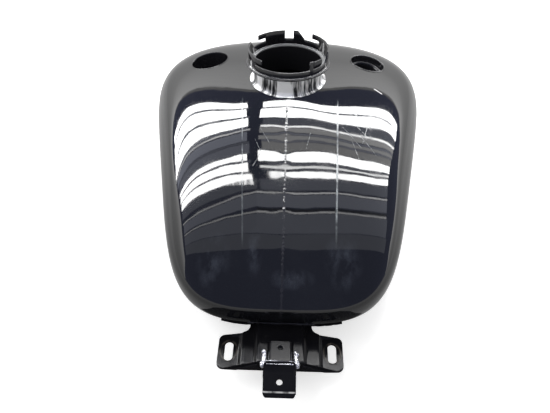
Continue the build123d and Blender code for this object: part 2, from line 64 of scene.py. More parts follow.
# places on the bracket and the console tab: distances behind the pump axis, and from the middle
SLOT_BACK, SLOT_SIDE, BOX_BACK, DIMPLE_BACK = 360.0, 54.0, 356.0, 367.0
STEP_BACK, TAB_HOLE_BACK, TAB_BEND_BACK = 385.0, 402.5, 412.5
NECK_SEGMENTS, SIDE_SEGMENTS = 200, 160
TUNNEL_STATIONS = ((-240.0, 37.0, 48.0), (-150.0, 38.8, 48.0), (310.0, 48.0, 100.0))


def node_mm(name):
    """Lowest and highest corner of a CAD node, in millimetres."""
    low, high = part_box(name)
    return np.array(low) / MM, np.array(high) / MM


collar_low, collar_high = node_mm("pump_neck_collar")
ring_low, ring_high = node_mm("pump_cam_ring")
PUMP_Y = (collar_low[1] + collar_high[1]) / 2
NECK_TOP = collar_high[2]
FLANGE_R = (collar_high[0] - collar_low[0]) / 2
RING_TOP = ring_high[2]
NECK_OUTER, NECK_BORE = 46.4, 45.0


# ---- the body's surface
def unit_curve(angle, power):
    scale = (np.abs(np.sin(angle)) ** power + np.abs(np.cos(angle)) ** power) ** (1 / power)
    return np.sin(angle) / scale, np.cos(angle) / scale


def surface(tilt, turn):
    """Points of the body. tilt is 0 on the crown and pi/2 on the widest line; turn is 0 at the
    right side and pi/2 at the front."""
    tilt, turn = np.broadcast_arrays(np.asarray(tilt, float), np.asarray(turn, float))
    along, across = unit_curve(turn, PLAN_POWER[0] + PLAN_POWER[1] * np.sin(turn))
    upper = tilt <= PI / 2
    crown_power = CROWN_POWER[0] + CROWN_POWER[1] * np.sin(turn)
    out, up = unit_curve(tilt, np.where(upper, crown_power, UNDER_POWER))
    u, v = out * across, out * along
    y = (FRONT_REACH + REAR_REACH) / 2 * v + (FRONT_REACH - REAR_REACH) / 2 * v**2 + PUMP_Y
    width = 1 + WIDTH_TERMS[0] * v + WIDTH_TERMS[1] * v**2 + WIDTH_TERMS[2] * v**3
    crown = 1 + CROWN_TERMS[0] * v + CROWN_TERMS[1] * v**2
    height = np.where(upper, (CROWN_Z - EQUATOR_Z) * crown, UNDER_DEPTH)
    return np.stack([HALF_WIDTH * width * u, y, EQUATOR_Z + height * up], -1)


def normals(tilt, turn):
    step = 1e-4
    down = surface(tilt + step, turn) - surface(tilt - step, turn)
    ahead = surface(tilt, turn + step) - surface(tilt, turn - step)
    cross = np.cross(down, ahead)
    return cross / np.linalg.norm(cross, axis=-1, keepdims=True)


def solve(function, low, high, shape):
    """Where a rising function crosses zero, for every element of an array."""
    low, high = np.full(shape, float(low)), np.full(shape, float(high))
    for _ in range(40):
        middle = (low + high) / 2
        above = function(middle) > 0
        low, high = np.where(above, low, middle), np.where(above, middle, high)
    return (low + high) / 2


def smooth(share):
    share = np.clip(share, 0, 1)
    return share * share * (3 - 2 * share)


def edge_height(y):
    behind = (PUMP_Y - y - REAR_RISE_START) / (REAR_REACH - REAR_RISE_START)
    ahead = (y - PUMP_Y - FRONT_RISE_START) / (FRONT_REACH - FRONT_RISE_START)
    return REAR_RISE * smooth(behind) + FRONT_RISE * smooth(ahead)


def crown_height(x, y):
    """Height of the body's upper side over points in plan, by Newton steps in tilt and turn."""
    x, y = np.broadcast_arrays(np.asarray(x, float), np.asarray(y, float))
    tilt = np.full(x.shape, 0.6)
    turn = np.arctan2((y - PUMP_Y) / 260, x / 190)
    step = 1e-5
    for _ in range(30):
        here = surface(tilt, turn)
        by_tilt = (surface(tilt + step, turn) - here) / step
        by_turn = (surface(tilt, turn + step) - here) / step
        miss_x, miss_y = x - here[..., 0], y - here[..., 1]
        det = by_tilt[..., 0] * by_turn[..., 1] - by_tilt[..., 1] * by_turn[..., 0]
        det = np.where(np.abs(det) < 1e-6, 1e-6, det)
        d_tilt = (miss_x * by_turn[..., 1] - miss_y * by_turn[..., 0]) / det
        d_turn = (miss_y * by_tilt[..., 0] - miss_x * by_tilt[..., 1]) / det
        tilt = np.clip(tilt + np.clip(d_tilt, -0.2, 0.2), 0.01, PI / 2 - 0.01)
        turn = turn + np.clip(d_turn, -0.3, 0.3)
    return surface(tilt, turn)[..., 2]


def ripple(points):
    """Slight waviness of the pressed sheet, in millimetres along the normal."""
    x, y, z = points[..., 0], points[..., 1], points[..., 2]
    wave = 0.035 * np.sin(x / 31 + 0.6 * np.sin(y / 57)) * np.sin(y / 43 + 1.3)
    wave += 0.018 * np.sin(x / 17 + y / 61 + 0.4) * np.sin(z / 29 + 0.8)
    wave += 0.010 * np.sin(y / 13.7 + np.sin(x / 23) * 1.4)
    wave += 0.07 * np.exp(-((x / 9.0) ** 2)) * (1 + 0.35 * np.sin(y / 9.1) + 0.3 * np.sin(y / 3.7 + 1))
    return wave


# ---- mesh helpers
def new_object(name, mesh):
    piece = bpy.data.objects.new(name, mesh)
    bpy.context.scene.collection.objects.link(piece)
    return piece


def object_of(name, mesh):
    """Turns a bmesh into an object."""
    data = bpy.data.meshes.new(name)
    mesh.to_mesh(data)
    mesh.free()
    return new_object(name, data)


def mesh_object(name, points_mm, faces, flat_angle=35):
    mesh = bpy.data.meshes.new(name)
    mesh.from_pydata((np.asarray(points_mm, float) * MM).tolist(), [], faces)
    mesh.validate()
    clean = bmesh.new()
    clean.from_mesh(mesh)
    bmesh.ops.recalc_face_normals(clean, faces=clean.faces)
    clean.to_mesh(mesh)
    clean.free()
    return soften(new_object(name, mesh), flat_angle)


def soften(piece, flat_angle):
    mesh = piece.data
    mesh.polygons.foreach_set("use_smooth", [True] * len(mesh.polygons))
    mesh.set_sharp_from_angle(angle=math.radians(flat_angle))
    mesh.update()
    return piece


def baked(piece):
    """Applies the piece's modifiers to its mesh."""
    bpy.context.view_layer.update()
    seen = piece.evaluated_get(bpy.context.evaluated_depsgraph_get())
    mesh = bpy.data.meshes.new_from_object(seen)
    piece.modifiers.clear()
    piece.data = mesh
    mesh.name = piece.name
    return piece


def bevelled(piece, width_mm, segments, angle):
    bevel = piece.modifiers.new("bevel", "BEVEL")
    bevel.width = width_mm * MM
    bevel.segments = segments
    bevel.limit_method = "ANGLE"
    bevel.angle_limit = math.radians(angle)
    bevel.harden_normals = False
    return soften(baked(piece), 50)


def sheet_piece(name, mesh, outward, thickness_mm, *bevel):
    """A part cut from sheet: a bmesh of its outer face, turned so that most of it looks along
    outward(face), then given its thickness below and eased edges."""
    bmesh.ops.recalc_face_normals(mesh, faces=mesh.faces)
    if sum(face.normal.dot(outward(face)) for face in mesh.faces) < 0:
        bmesh.ops.reverse_faces(mesh, faces=mesh.faces)
    piece = object_of(name, mesh)
    thick = piece.modifiers.new("thick", "SOLIDIFY")
    thick.thickness = thickness_mm * MM
    thick.offset = -1.0
    return bevelled(baked(piece), *bevel)


def carve(piece, *cutters):
    for cutter in cutters:
        cut = piece.modifiers.new("cut", "BOOLEAN")
        cut.operation = "DIFFERENCE"
        cut.solver = "EXACT"
        cut.object = cutter
    baked(piece)
    for cutter in cutters:
        bpy.data.objects.remove(cutter)
    return piece


def grid_faces(rows, cols, close_cols=False, close_rows=False, start=0):
    faces = []
    for i in range(rows if close_rows else rows - 1):
        for j in range(cols if close_cols else cols - 1):
            a, b = i * cols + j, i * cols + (j + 1) % cols
            c, d = ((i + 1) % rows) * cols + (j + 1) % cols, ((i + 1) % rows) * cols + j
            faces.append((a + start, b + start, c + start, d + start))
    return faces


def skin_faces(rows, cols):
    """Faces of two grids of points, one behind the other, and of the border between them."""
    total = rows * cols
    faces = grid_faces(rows, cols) + [f[::-1] for f in grid_faces(rows, cols, start=total)]
    index = np.arange(total).reshape(rows, cols)
    for border in (index[0], index[-1], index[:, 0], index[:, -1]):
        line = border.tolist()
        faces += [(a, b, b + total, a + total) for a, b in zip(line, line[1:])]
    return faces


def circle(count):
    """Angles all the way round."""
    return np.linspace(0, 2 * PI, count, endpoint=False)


def around(radius, angles, height):
    """Points round the Z axis."""
    return np.stack([radius * np.cos(angles), radius * np.sin(angles), height + 0 * angles], -1)


def placed(points, place):
    return points @ np.array(place.to_3x3()).T + np.array(place.to_translation())


def offset(radius, height, *points):
    """A profile whose (radius, height) points are given from one corner."""
    return [(radius + r, height + z) for r, z in points]


def lathe(name, profile, place, segments, follow=None, flat_angle=35):
    """A closed ring turned about the place's Z axis. profile is a closed line of (radius, height)
    points; follow adds a height for each point and angle."""
    angles = circle(segments)
    rings = [around(radius, angles, height + (follow(k, angles) if follow else 0))
             for k, (radius, height) in enumerate(profile)]
    faces = grid_faces(len(profile), segments, True, True)
    return mesh_object(name, placed(np.concatenate(rings), place), faces, flat_angle)


def rounded(profile, radius, steps=4):
    """Rounds the corners of a closed line of (radius, height) points."""
    line = []
    count = len(profile)
    for i in range(count):
        before, here, after = (np.array(profile[(i + k) % count], float) for k in (-1, 0, 1))
        to_before, to_after = before - here, after - here
        reach = min(radius, np.linalg.norm(to_before) * 0.45, np.linalg.norm(to_after) * 0.45)
        start = here + to_before / np.linalg.norm(to_before) * reach
        end = here + to_after / np.linalg.norm(to_after) * reach
        for k in range(steps + 1):
            t = k / steps
            line.append(tuple((1 - t) ** 2 * start + 2 * t * (1 - t) * here + t * t * end))
    return line


def cylinder(name, radius, low, high, place):
    count = SIDE_SEGMENTS
    points = np.concatenate([around(radius, circle(count), height) for height in (low, high)])
    faces = grid_faces(2, count, True) + [tuple(range(count))[::-1], tuple(range(count, 2 * count))]
    return mesh_object(name, placed(points, place), faces)


def side_place(side):
    """A frame in millimetres on the crown over one side, its Z axis along the outward normal."""
    point = surface(SIDE_TILT, SIDE_AHEAD) * (side, 1, 1)
    z_axis = Vector(normals(SIDE_TILT, SIDE_AHEAD) * (side, 1, 1))
    x_axis = (Vector((0, 1, 0)) - z_axis * z_axis.y).normalized()
    y_axis = z_axis.cross(x_axis)
    turn = Matrix((x_axis, y_axis, z_axis)).transposed().to_4x4()
    return Matrix.Translation(Vector(point)) @ turn


def put(piece, material, *nodes, slot="black_paint"):
    """Gives a piece its material, lets it ride on the body and stand for CAD nodes."""
    piece.data.materials.clear()
    piece.data.materials.append(material)
    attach(piece, "root")
    if nodes:
        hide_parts(*nodes)


# ---- materials
class Finish:
    """Builds one node material. Textures are laid out in metres of the object's own frame."""

    def __init__(self, name, metallic=0.0):
        self.material = bpy.data.materials.new(name)
        self.material.use_nodes = True
        self.tree = self.material.node_tree
        self.shader = self.tree.nodes["Principled BSDF"]
        self.shader.inputs["Metallic"].default_value = metallic
        self.shader.inputs["IOR"].default_value = 1.5
        self.place = self.tree.nodes.new("ShaderNodeTexCoord").outputs["Object"]
        split = self.node("ShaderNodeSeparateXYZ", Vector=self.place)
        self.x, self.y, self.z = split.outputs

    def node(self, kind, **inputs):
        made = self.tree.nodes.new(kind)
        for name, value in inputs.items():
            numbered = name[0] == "i" and name[1:].isdigit()
            self.feed(made.inputs[int(name[1:]) if numbered else name], value)
        return made

    def feed(self, socket, value):
        if isinstance(value, bpy.types.NodeSocket):
            self.tree.links.new(value, socket)
        else:
            socket.default_value = value

    def math(self, operation, a, b=0.0):
        made = self.node("ShaderNodeMath", i0=a, i1=b)
        made.operation = operation
        return made.outputs[0]

    def plus(self, a, b):
        return self.math("ADD", a, b)

    def minus(self, a, b):
        return self.math("SUBTRACT", a, b)

    def length(self, a, b):
        return self.math("SQRT", self.plus(self.both(a, a), self.both(b, b)))

    def noise(self, scale, detail=3.0, roughness=0.55, stretch=(1, 1, 1)):
        shaped = self.node("ShaderNodeMapping", Vector=self.place, Scale=stretch)
        return self.node("ShaderNodeTexNoise", Vector=shaped.outputs[0], Scale=scale, Detail=detail,
                         Roughness=roughness).outputs[0]

    def blots(self, low, high, *noise):
        """Noise as soft-edged blots: 0 below low and 1 above high."""
        return self.spread(self.noise(*noise), low, high)

    def cells(self, scale, stretch=(1, 1, 1), turned=(0, 0, 0)):
        shaped = self.node("ShaderNodeMapping", Vector=self.place, Scale=stretch, Rotation=turned)
        made = self.node("ShaderNodeTexVoronoi", Vector=shaped.outputs[0], Scale=scale)
        return made.outputs["Distance"]

    def grains(self, width, *cells):
        """1 in the middle of each cell, falling to 0 at width from it."""
        return self.spread(self.cells(*cells), 0.0, width, 1.0, 0.0)

    def spread(self, value, low, high, to_low=0.0, to_high=1.0):
        made = self.node("ShaderNodeMapRange", i0=value, i1=low, i2=high, i3=to_low, i4=to_high)
        made.clamp = True
        return made.outputs[0]

    def band(self, value, centre, half, soft):
        """1 within half of the centre, falling to 0 over soft."""
        away = self.math("ABSOLUTE", self.minus(value, centre))
        return self.spread(away, half, half + soft, 1.0, 0.0)

    def both(self, *values):
        result = values[0]
        for value in values[1:]:
            result = self.math("MULTIPLY", result, value)
        return result

    def most(self, *values):
        result = values[0]
        for value in values[1:]:
            result = self.math("MAXIMUM", result, value)
        return result

    def mix(self, share, first, second):
        made = self.tree.nodes.new("ShaderNodeMix")
        made.data_type = "RGBA"
        self.feed(made.inputs["Factor"], share)
        for socket, colour in ((made.inputs[6], first), (made.inputs[7], second)):
            self.feed(socket, colour if isinstance(colour, bpy.types.NodeSocket) else (*colour, 1))
        return made.outputs[2]

    def base(self, colour):
        self.feed(self.shader.inputs["Base Color"], colour)

    def rough(self, value):
        self.feed(self.shader.inputs["Roughness"], value)

    def bumps(self, *layers):
        """layers are (height from 0 to 1, depth in metres, strength)."""
        normal = None
        for height, depth, strength in layers:
            made = self.node("ShaderNodeBump", Height=height, Distance=depth, Strength=strength)
            if normal is not None:
                self.tree.links.new(normal, made.inputs["Normal"])
            normal = made.outputs[0]
        self.tree.links.new(normal, self.shader.inputs["Normal"])


def scratch(finish, start, end, half_mm=0.25, soft_mm=0.25):
    """A mask along a straight line between two points in plan, in millimetres."""
    (ax, ay), (bx, by) = start, end
    length = math.hypot(bx - ax, by - ay)
    ux, uy = (bx - ax) / length, (by - ay) / length
    dx = finish.minus(finish.x, ax * MM)
    dy = finish.minus(finish.y, ay * MM)
    along = finish.plus(finish.both(dx, ux), finish.both(dy, uy))
    across = finish.minus(finish.both(dx, uy), finish.both(dy, ux))
    wander = finish.both(finish.minus(finish.noise(90.0, 2.0), 0.5), 0.0016)
    near = finish.band(finish.plus(across, wander), 0.0, half_mm * MM, soft_mm * MM)
    inside = finish.band(along, length * MM / 2, length * MM / 2 - 0.001, 0.002)
    return finish.both(near, inside)


def patch(finish, x, y, reach_x, reach_y):
    """1 about a point in plan, falling to 0 at an ellipse round it; sizes in millimetres."""
    dx = finish.math("DIVIDE", finish.minus(finish.x, x * MM), reach_x * MM)
    dy = finish.math("DIVIDE", finish.minus(finish.y, y * MM), reach_y * MM)
    return finish.spread(finish.length(dx, dy), 0.25, 1.0, 1.0, 0.0)


def strokes(finish, scale, turn, width, stretch=0.05):
    """Short fine lines that all lie one way."""
    return finish.grains(width, scale, (1.0, stretch, 1.0), (0, 0, turn))


def black_gloss():
    """The shells' paint: deep gloss black with polish haze, witness lines and light scratches."""
    paint = Finish("gloss_black_paint")
    upper = paint.spread(paint.z, 0.105, 0.125)
    sides_too = paint.spread(paint.z, 0.070, 0.085)
    behind = paint.spread(paint.y, 0.05, 0.07, 1.0, 0.0)
    broken = paint.blots(0.30, 0.62, 70.0, 3.0)
    aft = paint.minus(0.06, paint.y)
    left_line = paint.minus(paint.x, paint.both(aft, 0.066))
    right_line = paint.plus(paint.x, paint.both(aft, 0.040))
    witness = paint.most(paint.both(paint.band(left_line, -0.0583, 0.0004, 0.0008), 0.5),
                         paint.band(right_line, 0.0657, 0.0005, 0.0009))
    fade = paint.spread(paint.y, -0.165, -0.12)
    witness = paint.both(witness, sides_too, behind, broken, fade)
    marks = [scratch(paint, *ends) for ends in SCRATCHES]
    broken_marks = paint.blots(0.36, 0.6, 260.0, 2.0)
    rubbed = paint.both(patch(paint, 96, 16, 40, 62), paint.blots(0.40, 0.62, 30.0, 4.0))
    criss_cross = paint.most(strokes(paint, 150.0, 0.7, 0.05), strokes(paint, 130.0, -0.6, 0.05),
                             strokes(paint, 170.0, 1.1, 0.05))
    wiped = paint.both(patch(paint, -34, -2, 18, 100), strokes(paint, 240.0, 0.05, 0.10, 0.03))
    marks = paint.most(paint.both(paint.most(*marks), 0.6), paint.both(rubbed, criss_cross), wiped)
    marks = paint.both(marks, upper, broken_marks)
    smears = paint.most(*(patch(paint, *place) for place in SMEARS))
    smears = paint.both(smears, sides_too, paint.blots(0.42, 0.7, 75.0, 5.0, 0.6, (1, 0.35, 1)))
    chip = paint.both(scratch(paint, (118, 107), (128, 100), 0.7, 0.3), upper)
    hairs = paint.both(strokes(paint, 70.0, 0.5, 0.02), paint.blots(0.5, 0.62, 9.0))
    haze = paint.blots(0.48, 0.72, 16.0, 6.0, 0.65)
    dust = paint.both(paint.grains(0.10, 420.0), paint.blots(0.52, 0.6, 37.0, 2.0))
    tone = paint.mix(haze, (0.0030, 0.0032, 0.0042), (0.0052, 0.0055, 0.0068))
    for mask, share, colour in (
            (dust, 0.35, (0.16, 0.16, 0.15)), (smears, 0.8, (0.035, 0.040, 0.052)),
            (rubbed, 0.55, (0.050, 0.056, 0.062)), (witness, 0.65, (0.30, 0.33, 0.35)),
            (marks, 0.55, (0.26, 0.28, 0.29))):
        tone = paint.mix(paint.both(mask, share), tone, colour)
    paint.base(paint.mix(chip, tone, (0.85, 0.85, 0.86)))
    dull = ((hairs, 0.16), (marks, 0.35), (witness, 0.22), (wiped, 0.40), (rubbed, 0.10), (smears, 0.16),
            (chip, 0.5))
    gloss = paint.spread(haze, 0.0, 1.0, 0.028, 0.055)
    paint.rough(paint.most(gloss, *(paint.both(mask, share) for mask, share in dull)))
    paint.bumps((paint.noise(330.0, 2.0), 0.00001, 0.30), (paint.noise(22.0, 2.0), 0.00022, 0.35),
                (witness, 0.0001, 0.5))
    return paint.material


def black_part(name, gloss, wear):
    """Black paint on thick or rough sheet: satin orange peel, rubbed places and dust."""
    paint = Finish(name)
    cloud = paint.noise(38.0, 5.0, 0.6)
    rubbed = paint.blots(0.58, 0.78, 150.0, 6.0, 0.7)
    dust = paint.grains(0.10, 500.0)
    tone = (0.007, 0.007, 0.0085)
    shade = paint.mix(cloud, tone, tuple(2.2 * c for c in tone))
    shade = paint.mix(paint.both(rubbed, 0.10 * wear), shade, (0.20, 0.19, 0.18))
    paint.base(paint.mix(paint.both(dust, 0.12 * wear), shade, (0.30, 0.29, 0.27)))
    worn = paint.plus(cloud, paint.both(rubbed, 0.5))
    paint.rough(paint.spread(worn, 0.2, 1.3, gloss, gloss + 0.13))
    paint.bumps((paint.noise(420.0, 3.0), 0.00003, 0.5), (paint.noise(60.0, 2.0), 0.0002, 0.25))
    return paint.material


def bracket_black():
    """The bracket's satin black, rubbed grey in rings where washers sat round the slots, with a painted
    highlight along the bend at the tongue's end.
    """
    paint = Finish("bracket_black_paint")
    side = paint.minus(paint.math("ABSOLUTE", paint.x), SLOT_SIDE * MM)
    ahead = paint.both(paint.minus(paint.y, (PUMP_Y - SLOT_BACK) * MM), 0.72)
    ring = paint.band(paint.length(side, ahead), 0.0088, 0.0004, 0.0009)
    ring = paint.both(ring, paint.blots(0.36, 0.6, 120.0, 4.0))
    cloud = paint.noise(45.0, 5.0, 0.6)
    rubbed = paint.blots(0.62, 0.8, 170.0, 6.0, 0.7)
    tone = paint.mix(cloud, (0.0035, 0.0035, 0.0045), (0.007, 0.007, 0.0085))
    tone = paint.mix(paint.both(rubbed, 0.05), tone, (0.20, 0.19, 0.18))
    # painted highlight: a broken light line across the tongue's end bend, where the sharp fold would catch
    # the light
    bend_highlight = paint.both(paint.band(paint.y, (PUMP_Y - TAB_BEND_BACK) * MM, 0.0003, 0.0006),
                      paint.blots(0.3, 0.55, 140.0, 3.0))
    tone = paint.mix(bend_highlight, tone, (0.40, 0.40, 0.41))
    paint.base(paint.mix(paint.both(ring, 0.4), tone, (0.12, 0.105, 0.09)))
    paint.rough(paint.most(paint.spread(cloud, 0.2, 0.8, 0.12, 0.18), paint.both(ring, 0.40)))
    paint.shader.inputs["Specular IOR Level"].default_value = 0.12
    paint.bumps((paint.noise(420.0, 3.0), 0.00003, 0.5), (ring, 0.0001, -0.5))
    return paint.material


def drawn_collar():
    """The pump collar's wall: thin glossy black over turned steel, with upright streaks of painted highlight
    in its colour where the turned wall would catch the lights.
    """
    metal = Finish("drawn_collar_paint")
    ahead = metal.minus(metal.y, PUMP_Y * MM)
    heading = metal.math("ARCTAN2", ahead, metal.x)
    line = metal.node("ShaderNodeCombineXYZ", X=heading, Z=metal.both(metal.z, 3.0))
    wide = metal.node("ShaderNodeTexNoise", Vector=line.outputs[0], Scale=3.4, Detail=2.0).outputs[0]
    fine = metal.node("ShaderNodeTexNoise", Vector=line.outputs[0], Scale=21.0, Detail=4.0).outputs[0]
    # painted highlight: upright streaks that whiten the colour where the turned wall would catch the lights
    highlight_streak = metal.plus(metal.both(wide, 0.75), metal.both(fine, 0.35))
    highlight_streak = metal.spread(highlight_streak, 0.46, 0.58)
    low = metal.spread(metal.z, 0.154, 0.158)
    high = metal.spread(metal.z, 0.1835, 0.1845, 1.0, 0.0)
    outside = metal.spread(metal.length(metal.x, ahead), 0.0456, 0.0460)
    highlight_streak = metal.both(highlight_streak, low, high, outside)
    # painted shade: inside the bore the wall gets no metal and no reflection, so the hole stays dead black
    metal.feed(metal.shader.inputs["Metallic"], metal.both(outside, 0.35))
    metal.feed(metal.shader.inputs["Specular IOR Level"], metal.both(outside, 0.5))
    metal.base(metal.mix(highlight_streak, (0.012, 0.012, 0.014), (0.95, 0.95, 0.95)))
    metal.rough(metal.spread(fine, 0.3, 0.7, 0.40, 0.55))
    metal.bumps((fine, 0.0002, 0.35), (metal.noise(300.0, 3.0), 0.00003, 0.4))
    return metal.material


def dark_steel(name, light, rust, gloss):
    """Oily bare sheet with faint flash rust."""
    steel = Finish(name, metallic=0.8)
    cloud = steel.noise(26.0, 6.0, 0.65)
    spots = steel.blots(0.56, 0.74, 130.0, 6.0, 0.7)
    tone = steel.mix(cloud, tuple(light * c for c in (0.055, 0.055, 0.060)),
                     tuple(light * c for c in (0.12, 0.12, 0.125)))
    steel.base(steel.mix(steel.both(spots, rust), tone, (0.10, 0.045, 0.018)))
    steel.rough(steel.spread(cloud, 0.2, 0.8, gloss, gloss + 0.2))
    steel.bumps((steel.noise(520.0, 3.0), 0.00003, 0.5), (spots, 0.0001, 0.2))
    return steel.material


def zinc():
    plate = Finish("yellow_zinc_plate", metallic=1.0)
    flakes = plate.noise(160.0, 4.0, 0.6)
    stain = plate.blots(0.5, 0.75, 40.0, 5.0)
    tone = plate.mix(flakes, (0.42, 0.38, 0.28), (0.62, 0.57, 0.42))
    plate.base(plate.mix(plate.both(stain, 0.4), tone, (0.20, 0.17, 0.12)))
    plate.rough(plate.spread(flakes, 0.3, 0.7, 0.26, 0.44))
    plate.bumps((plate.noise(600.0, 3.0), 0.00003, 0.5), (stain, 0.0001, 0.1))
    return plate.material


def rubber():
    """The grey moulded seal seat."""
    seat = Finish("grey_seal_rubber")
    cloud = seat.noise(55.0, 5.0, 0.6)
    grain = seat.noise(800.0, 3.0)
    seat.base(seat.mix(cloud, (0.085, 0.087, 0.092), (0.19, 0.195, 0.20)))
    seat.rough(seat.spread(cloud, 0.3, 0.7, 0.34, 0.5))
    seat.bumps((grain, 0.00005, 0.4), (seat.noise(70.0, 3.0), 0.0003, 0.3))
    return seat.material


# scratches behind and beside the neck, as (from, to) in plan, millimetres
SCRATCHES = (
    ((78, 52), (104, 18)), ((86, 56), (92, 26)), ((76, 34), (100, 2)), ((104, 30), (94, -12)),
    ((70, 12), (92, -20)), ((80, -8), (88, -40)), ((90, 4), (110, -26)),
    ((-32, 4), (-20, -20)), ((-38, -14), (-28, -40)), ((-30, -38), (-38, -58)), ((30, -2), (24, -30)),
)
# dull smears towards the rear: (x, y) of the middle and the reach each way, millimetres
SMEARS = ((-74, -178, 20, 34), (64, -176, 22, 34), (-30, -168, 10, 30), (10, -196, 26, 12))
PAINT = black_gloss()
PART_PAINT = black_part("satin_black_paint", 0.05, 0.6)
PAN_PAINT = black_part("underside_black_paint", 0.22, 1.0)
WELD_PAINT = black_part("painted_weld", 0.03, 0.3)
BRACKET_PAINT = bracket_black()
COLLAR = drawn_collar()
WELD_STEEL = dark_steel("bare_weld_steel", 5.0, 0.1, 0.16)
INNER = dark_steel("inner_sheet_steel", 1.0, 0.2, 0.38)
MOUTH = dark_steel("mouth_steel", 0.35, 0.1, 0.22)
ZINC = zinc()
RUBBER = rubber()


# ---- shells
def tunnel_cutter():
    """A solid of the tunnel's outside, a little larger, reaching out of both ends."""
    rings = []
    for y, half, top in TUNNEL_STATIONS:
        half, top, corner = half + 0.05, top + 0.05, 12.05
        line = [(half, -20.0)]
        line += [(half - corner + corner * math.cos(a), top - corner + corner * math.sin(a))
                 for a in np.linspace(0, PI / 2, 9)]
        rings.append([(x, y, z) for x, z in line] + [(-x, y, z) for x, z in reversed(line)])
    count = len(rings[0])
    faces = grid_faces(len(rings), count, True)
    faces += [tuple(range(count)), tuple(range(count * (len(rings) - 1), count * len(rings)))]
    return mesh_object("tunnel_cutter", np.concatenate(rings), faces)


def lower_tilt(turns):
    """Where the shells end, just above the pans' flange."""
    def above_edge(tilt):
        point = surface(tilt, turns)
        return edge_height(point[..., 1]) + RIM_LAP - point[..., 2]
    return solve(above_edge, PI / 2, 3.0, turns.shape)


def neck_tilt(turns, radius):
    def outside(tilt):
        point = surface(tilt, turns)
        return np.hypot(point[..., 0], point[..., 1] - PUMP_Y) - radius
    return solve(outside, 0.02, 1.2, turns.shape)


def shell(name, side, node, rows=190, columns=260):
    turns = np.linspace(-PI / 2, PI / 2, columns)
    first, last = neck_tilt(turns, NECK_OUTER + 0.05), lower_tilt(turns)
    tilt = first + (last - first) * np.linspace(0, 1, rows)[:, None]
    outer, outward = surface(tilt, turns), normals(tilt, turns)
    outward[:, (0, -1), 0] = 0
    outward /= np.linalg.norm(outward, axis=-1, keepdims=True)
    inner = outer - outward * WALL
    outer = outer + outward * ripple(outer)[..., None]
    outer, inner = outer * (side, 1, 1), inner * (side, 1, 1)
    points = np.concatenate([outer.reshape(-1, 3), inner.reshape(-1, 3)])
    piece = mesh_object(name, points, skin_faces(rows, columns))
    hole = FILLER_HOLE if side > 0 else GAUGE_HOLE
    carve(piece, tunnel_cutter(), cylinder("side_cutter", hole, -40, 40, side_place(side)))
    put(soften(piece, 30), PAINT, node)


shell("right_shell_skin", 1, "right_shell")
shell("left_shell_skin", -1, "left_shell")


# ---- beads and welds
def bead(name, centres, outward, sideways, half_mm, height_mm, seed, rough, sink=0.6):
    """A weld bead laid along a line: a low dome in section, rippled and lumpy. The ways outward
    and sideways are one for all the line or one for each point."""
    outward, sideways = (np.broadcast_to(way, np.shape(centres)) for way in (outward, sideways))
    count, across = len(centres), 9
    rows = []
    for i in range(count):
        centre, out, side = (np.array(v[i], float) for v in (centres, outward, sideways))
        place = Vector(centre / 11.0) + Vector((seed, 0, 0))
        swell = 1 + rough * noise.noise(place) + 0.5 * rough * noise.noise(place * 3.7)
        end = min(i, count - 1 - i, 6) / 6
        for k in range(across):
            share = 2 * k / (across - 1) - 1
            lump = 1 + rough * noise.noise(Vector(centre / 3.1) + Vector((share * 1.4, seed, 0)))
            lift = height_mm * swell * lump * (1 - share * share) * max(end, 0.15) - 0.05
            rows.append(centre + side * share * half_mm * swell * (0.4 + 0.6 * end) + out * lift)
        for share in (1, -1):
            rows.append(centre + side * share * half_mm * 0.6 - out * sink)
    ring = across + 2
    faces = grid_faces(count, ring, True)
    faces += [tuple(range(ring)), tuple(range(ring * (count - 1), ring * count))]
    return mesh_object(name, rows, faces, 70)


def joined(name, pieces):
    """One object from several meshes."""
    mesh = bmesh.new()
    for piece in pieces:
        mesh.from_mesh(piece.data)
        bpy.data.objects.remove(piece)
    return object_of(name, mesh)


def seam_line(turn, first, last, count, seed):
    tilt = np.linspace(first, last, count)
    centre, out = surface(tilt, turn), normals(tilt, turn)
    centre[:, 0], out[:, 0] = 0, 0
    return bead("seam", centre, out, (1.0, 0, 0), 1.6, 0.24, seed, 0.8)


seam = [seam_line(-PI / 2, 0.225, 2.0, 700, 3.0), seam_line(PI / 2, 0.56, 1.60, 260, 8.0)]
put(soften(joined("centre_seam", seam), 80), WELD_PAINT, "top_seam_weld")


def rim_weld(side):
    """The bead that closes the shell onto the pan's flange."""
    turns = np.linspace(-PI / 2 + 0.16, PI / 2 - 0.16, 640)
    last = lower_tilt(turns)
    centre, out = surface(last, turns), normals(last, turns)
    centre[:, 2] -= 0.4
    centre -= out * 0.9
    centre, out = centre * (side, 1, 1), out * (side, 1, 1)
    return bead("rim", centre, out, (0, 0, 1.0), 1.5, 1.1, 20.0 + side, 0.8, 0.8)


put(soften(joined("rim_weld_bead", [rim_weld(1), rim_weld(-1)]), 80), WELD_PAINT)


def rear_lip():
    """The pans' flange stands out a little at the rear, bent in waves."""
    turns = np.linspace(-PI / 2, -PI / 2 + 0.42, 200)
    last = lower_tilt(turns)
    half, out = surface(last, turns), normals(last, turns) * (1, 1, 0)
    centre = np.concatenate([half[:0:-1] * (-1, 1, 1), half])
    out = np.concatenate([out[:0:-1] * (-1, 1, 1), out])
    out /= np.linalg.norm(out, axis=-1, keepdims=True)
    waves = np.sin(centre[:, 0] / 6.1) * np.sin(centre[:, 0] / 17.0 + 1.1)
    centre[:, 2] += 0.3 + 0.9 * waves
    centre += out * (0.9 * waves - 0.5)[:, None]
    return bead("rear_lip", centre, out, (0, 0, 1.0), 1.0, 6.2, 31.0, 0.05, 1.5)


put(soften(rear_lip(), 60), PART_PAINT)


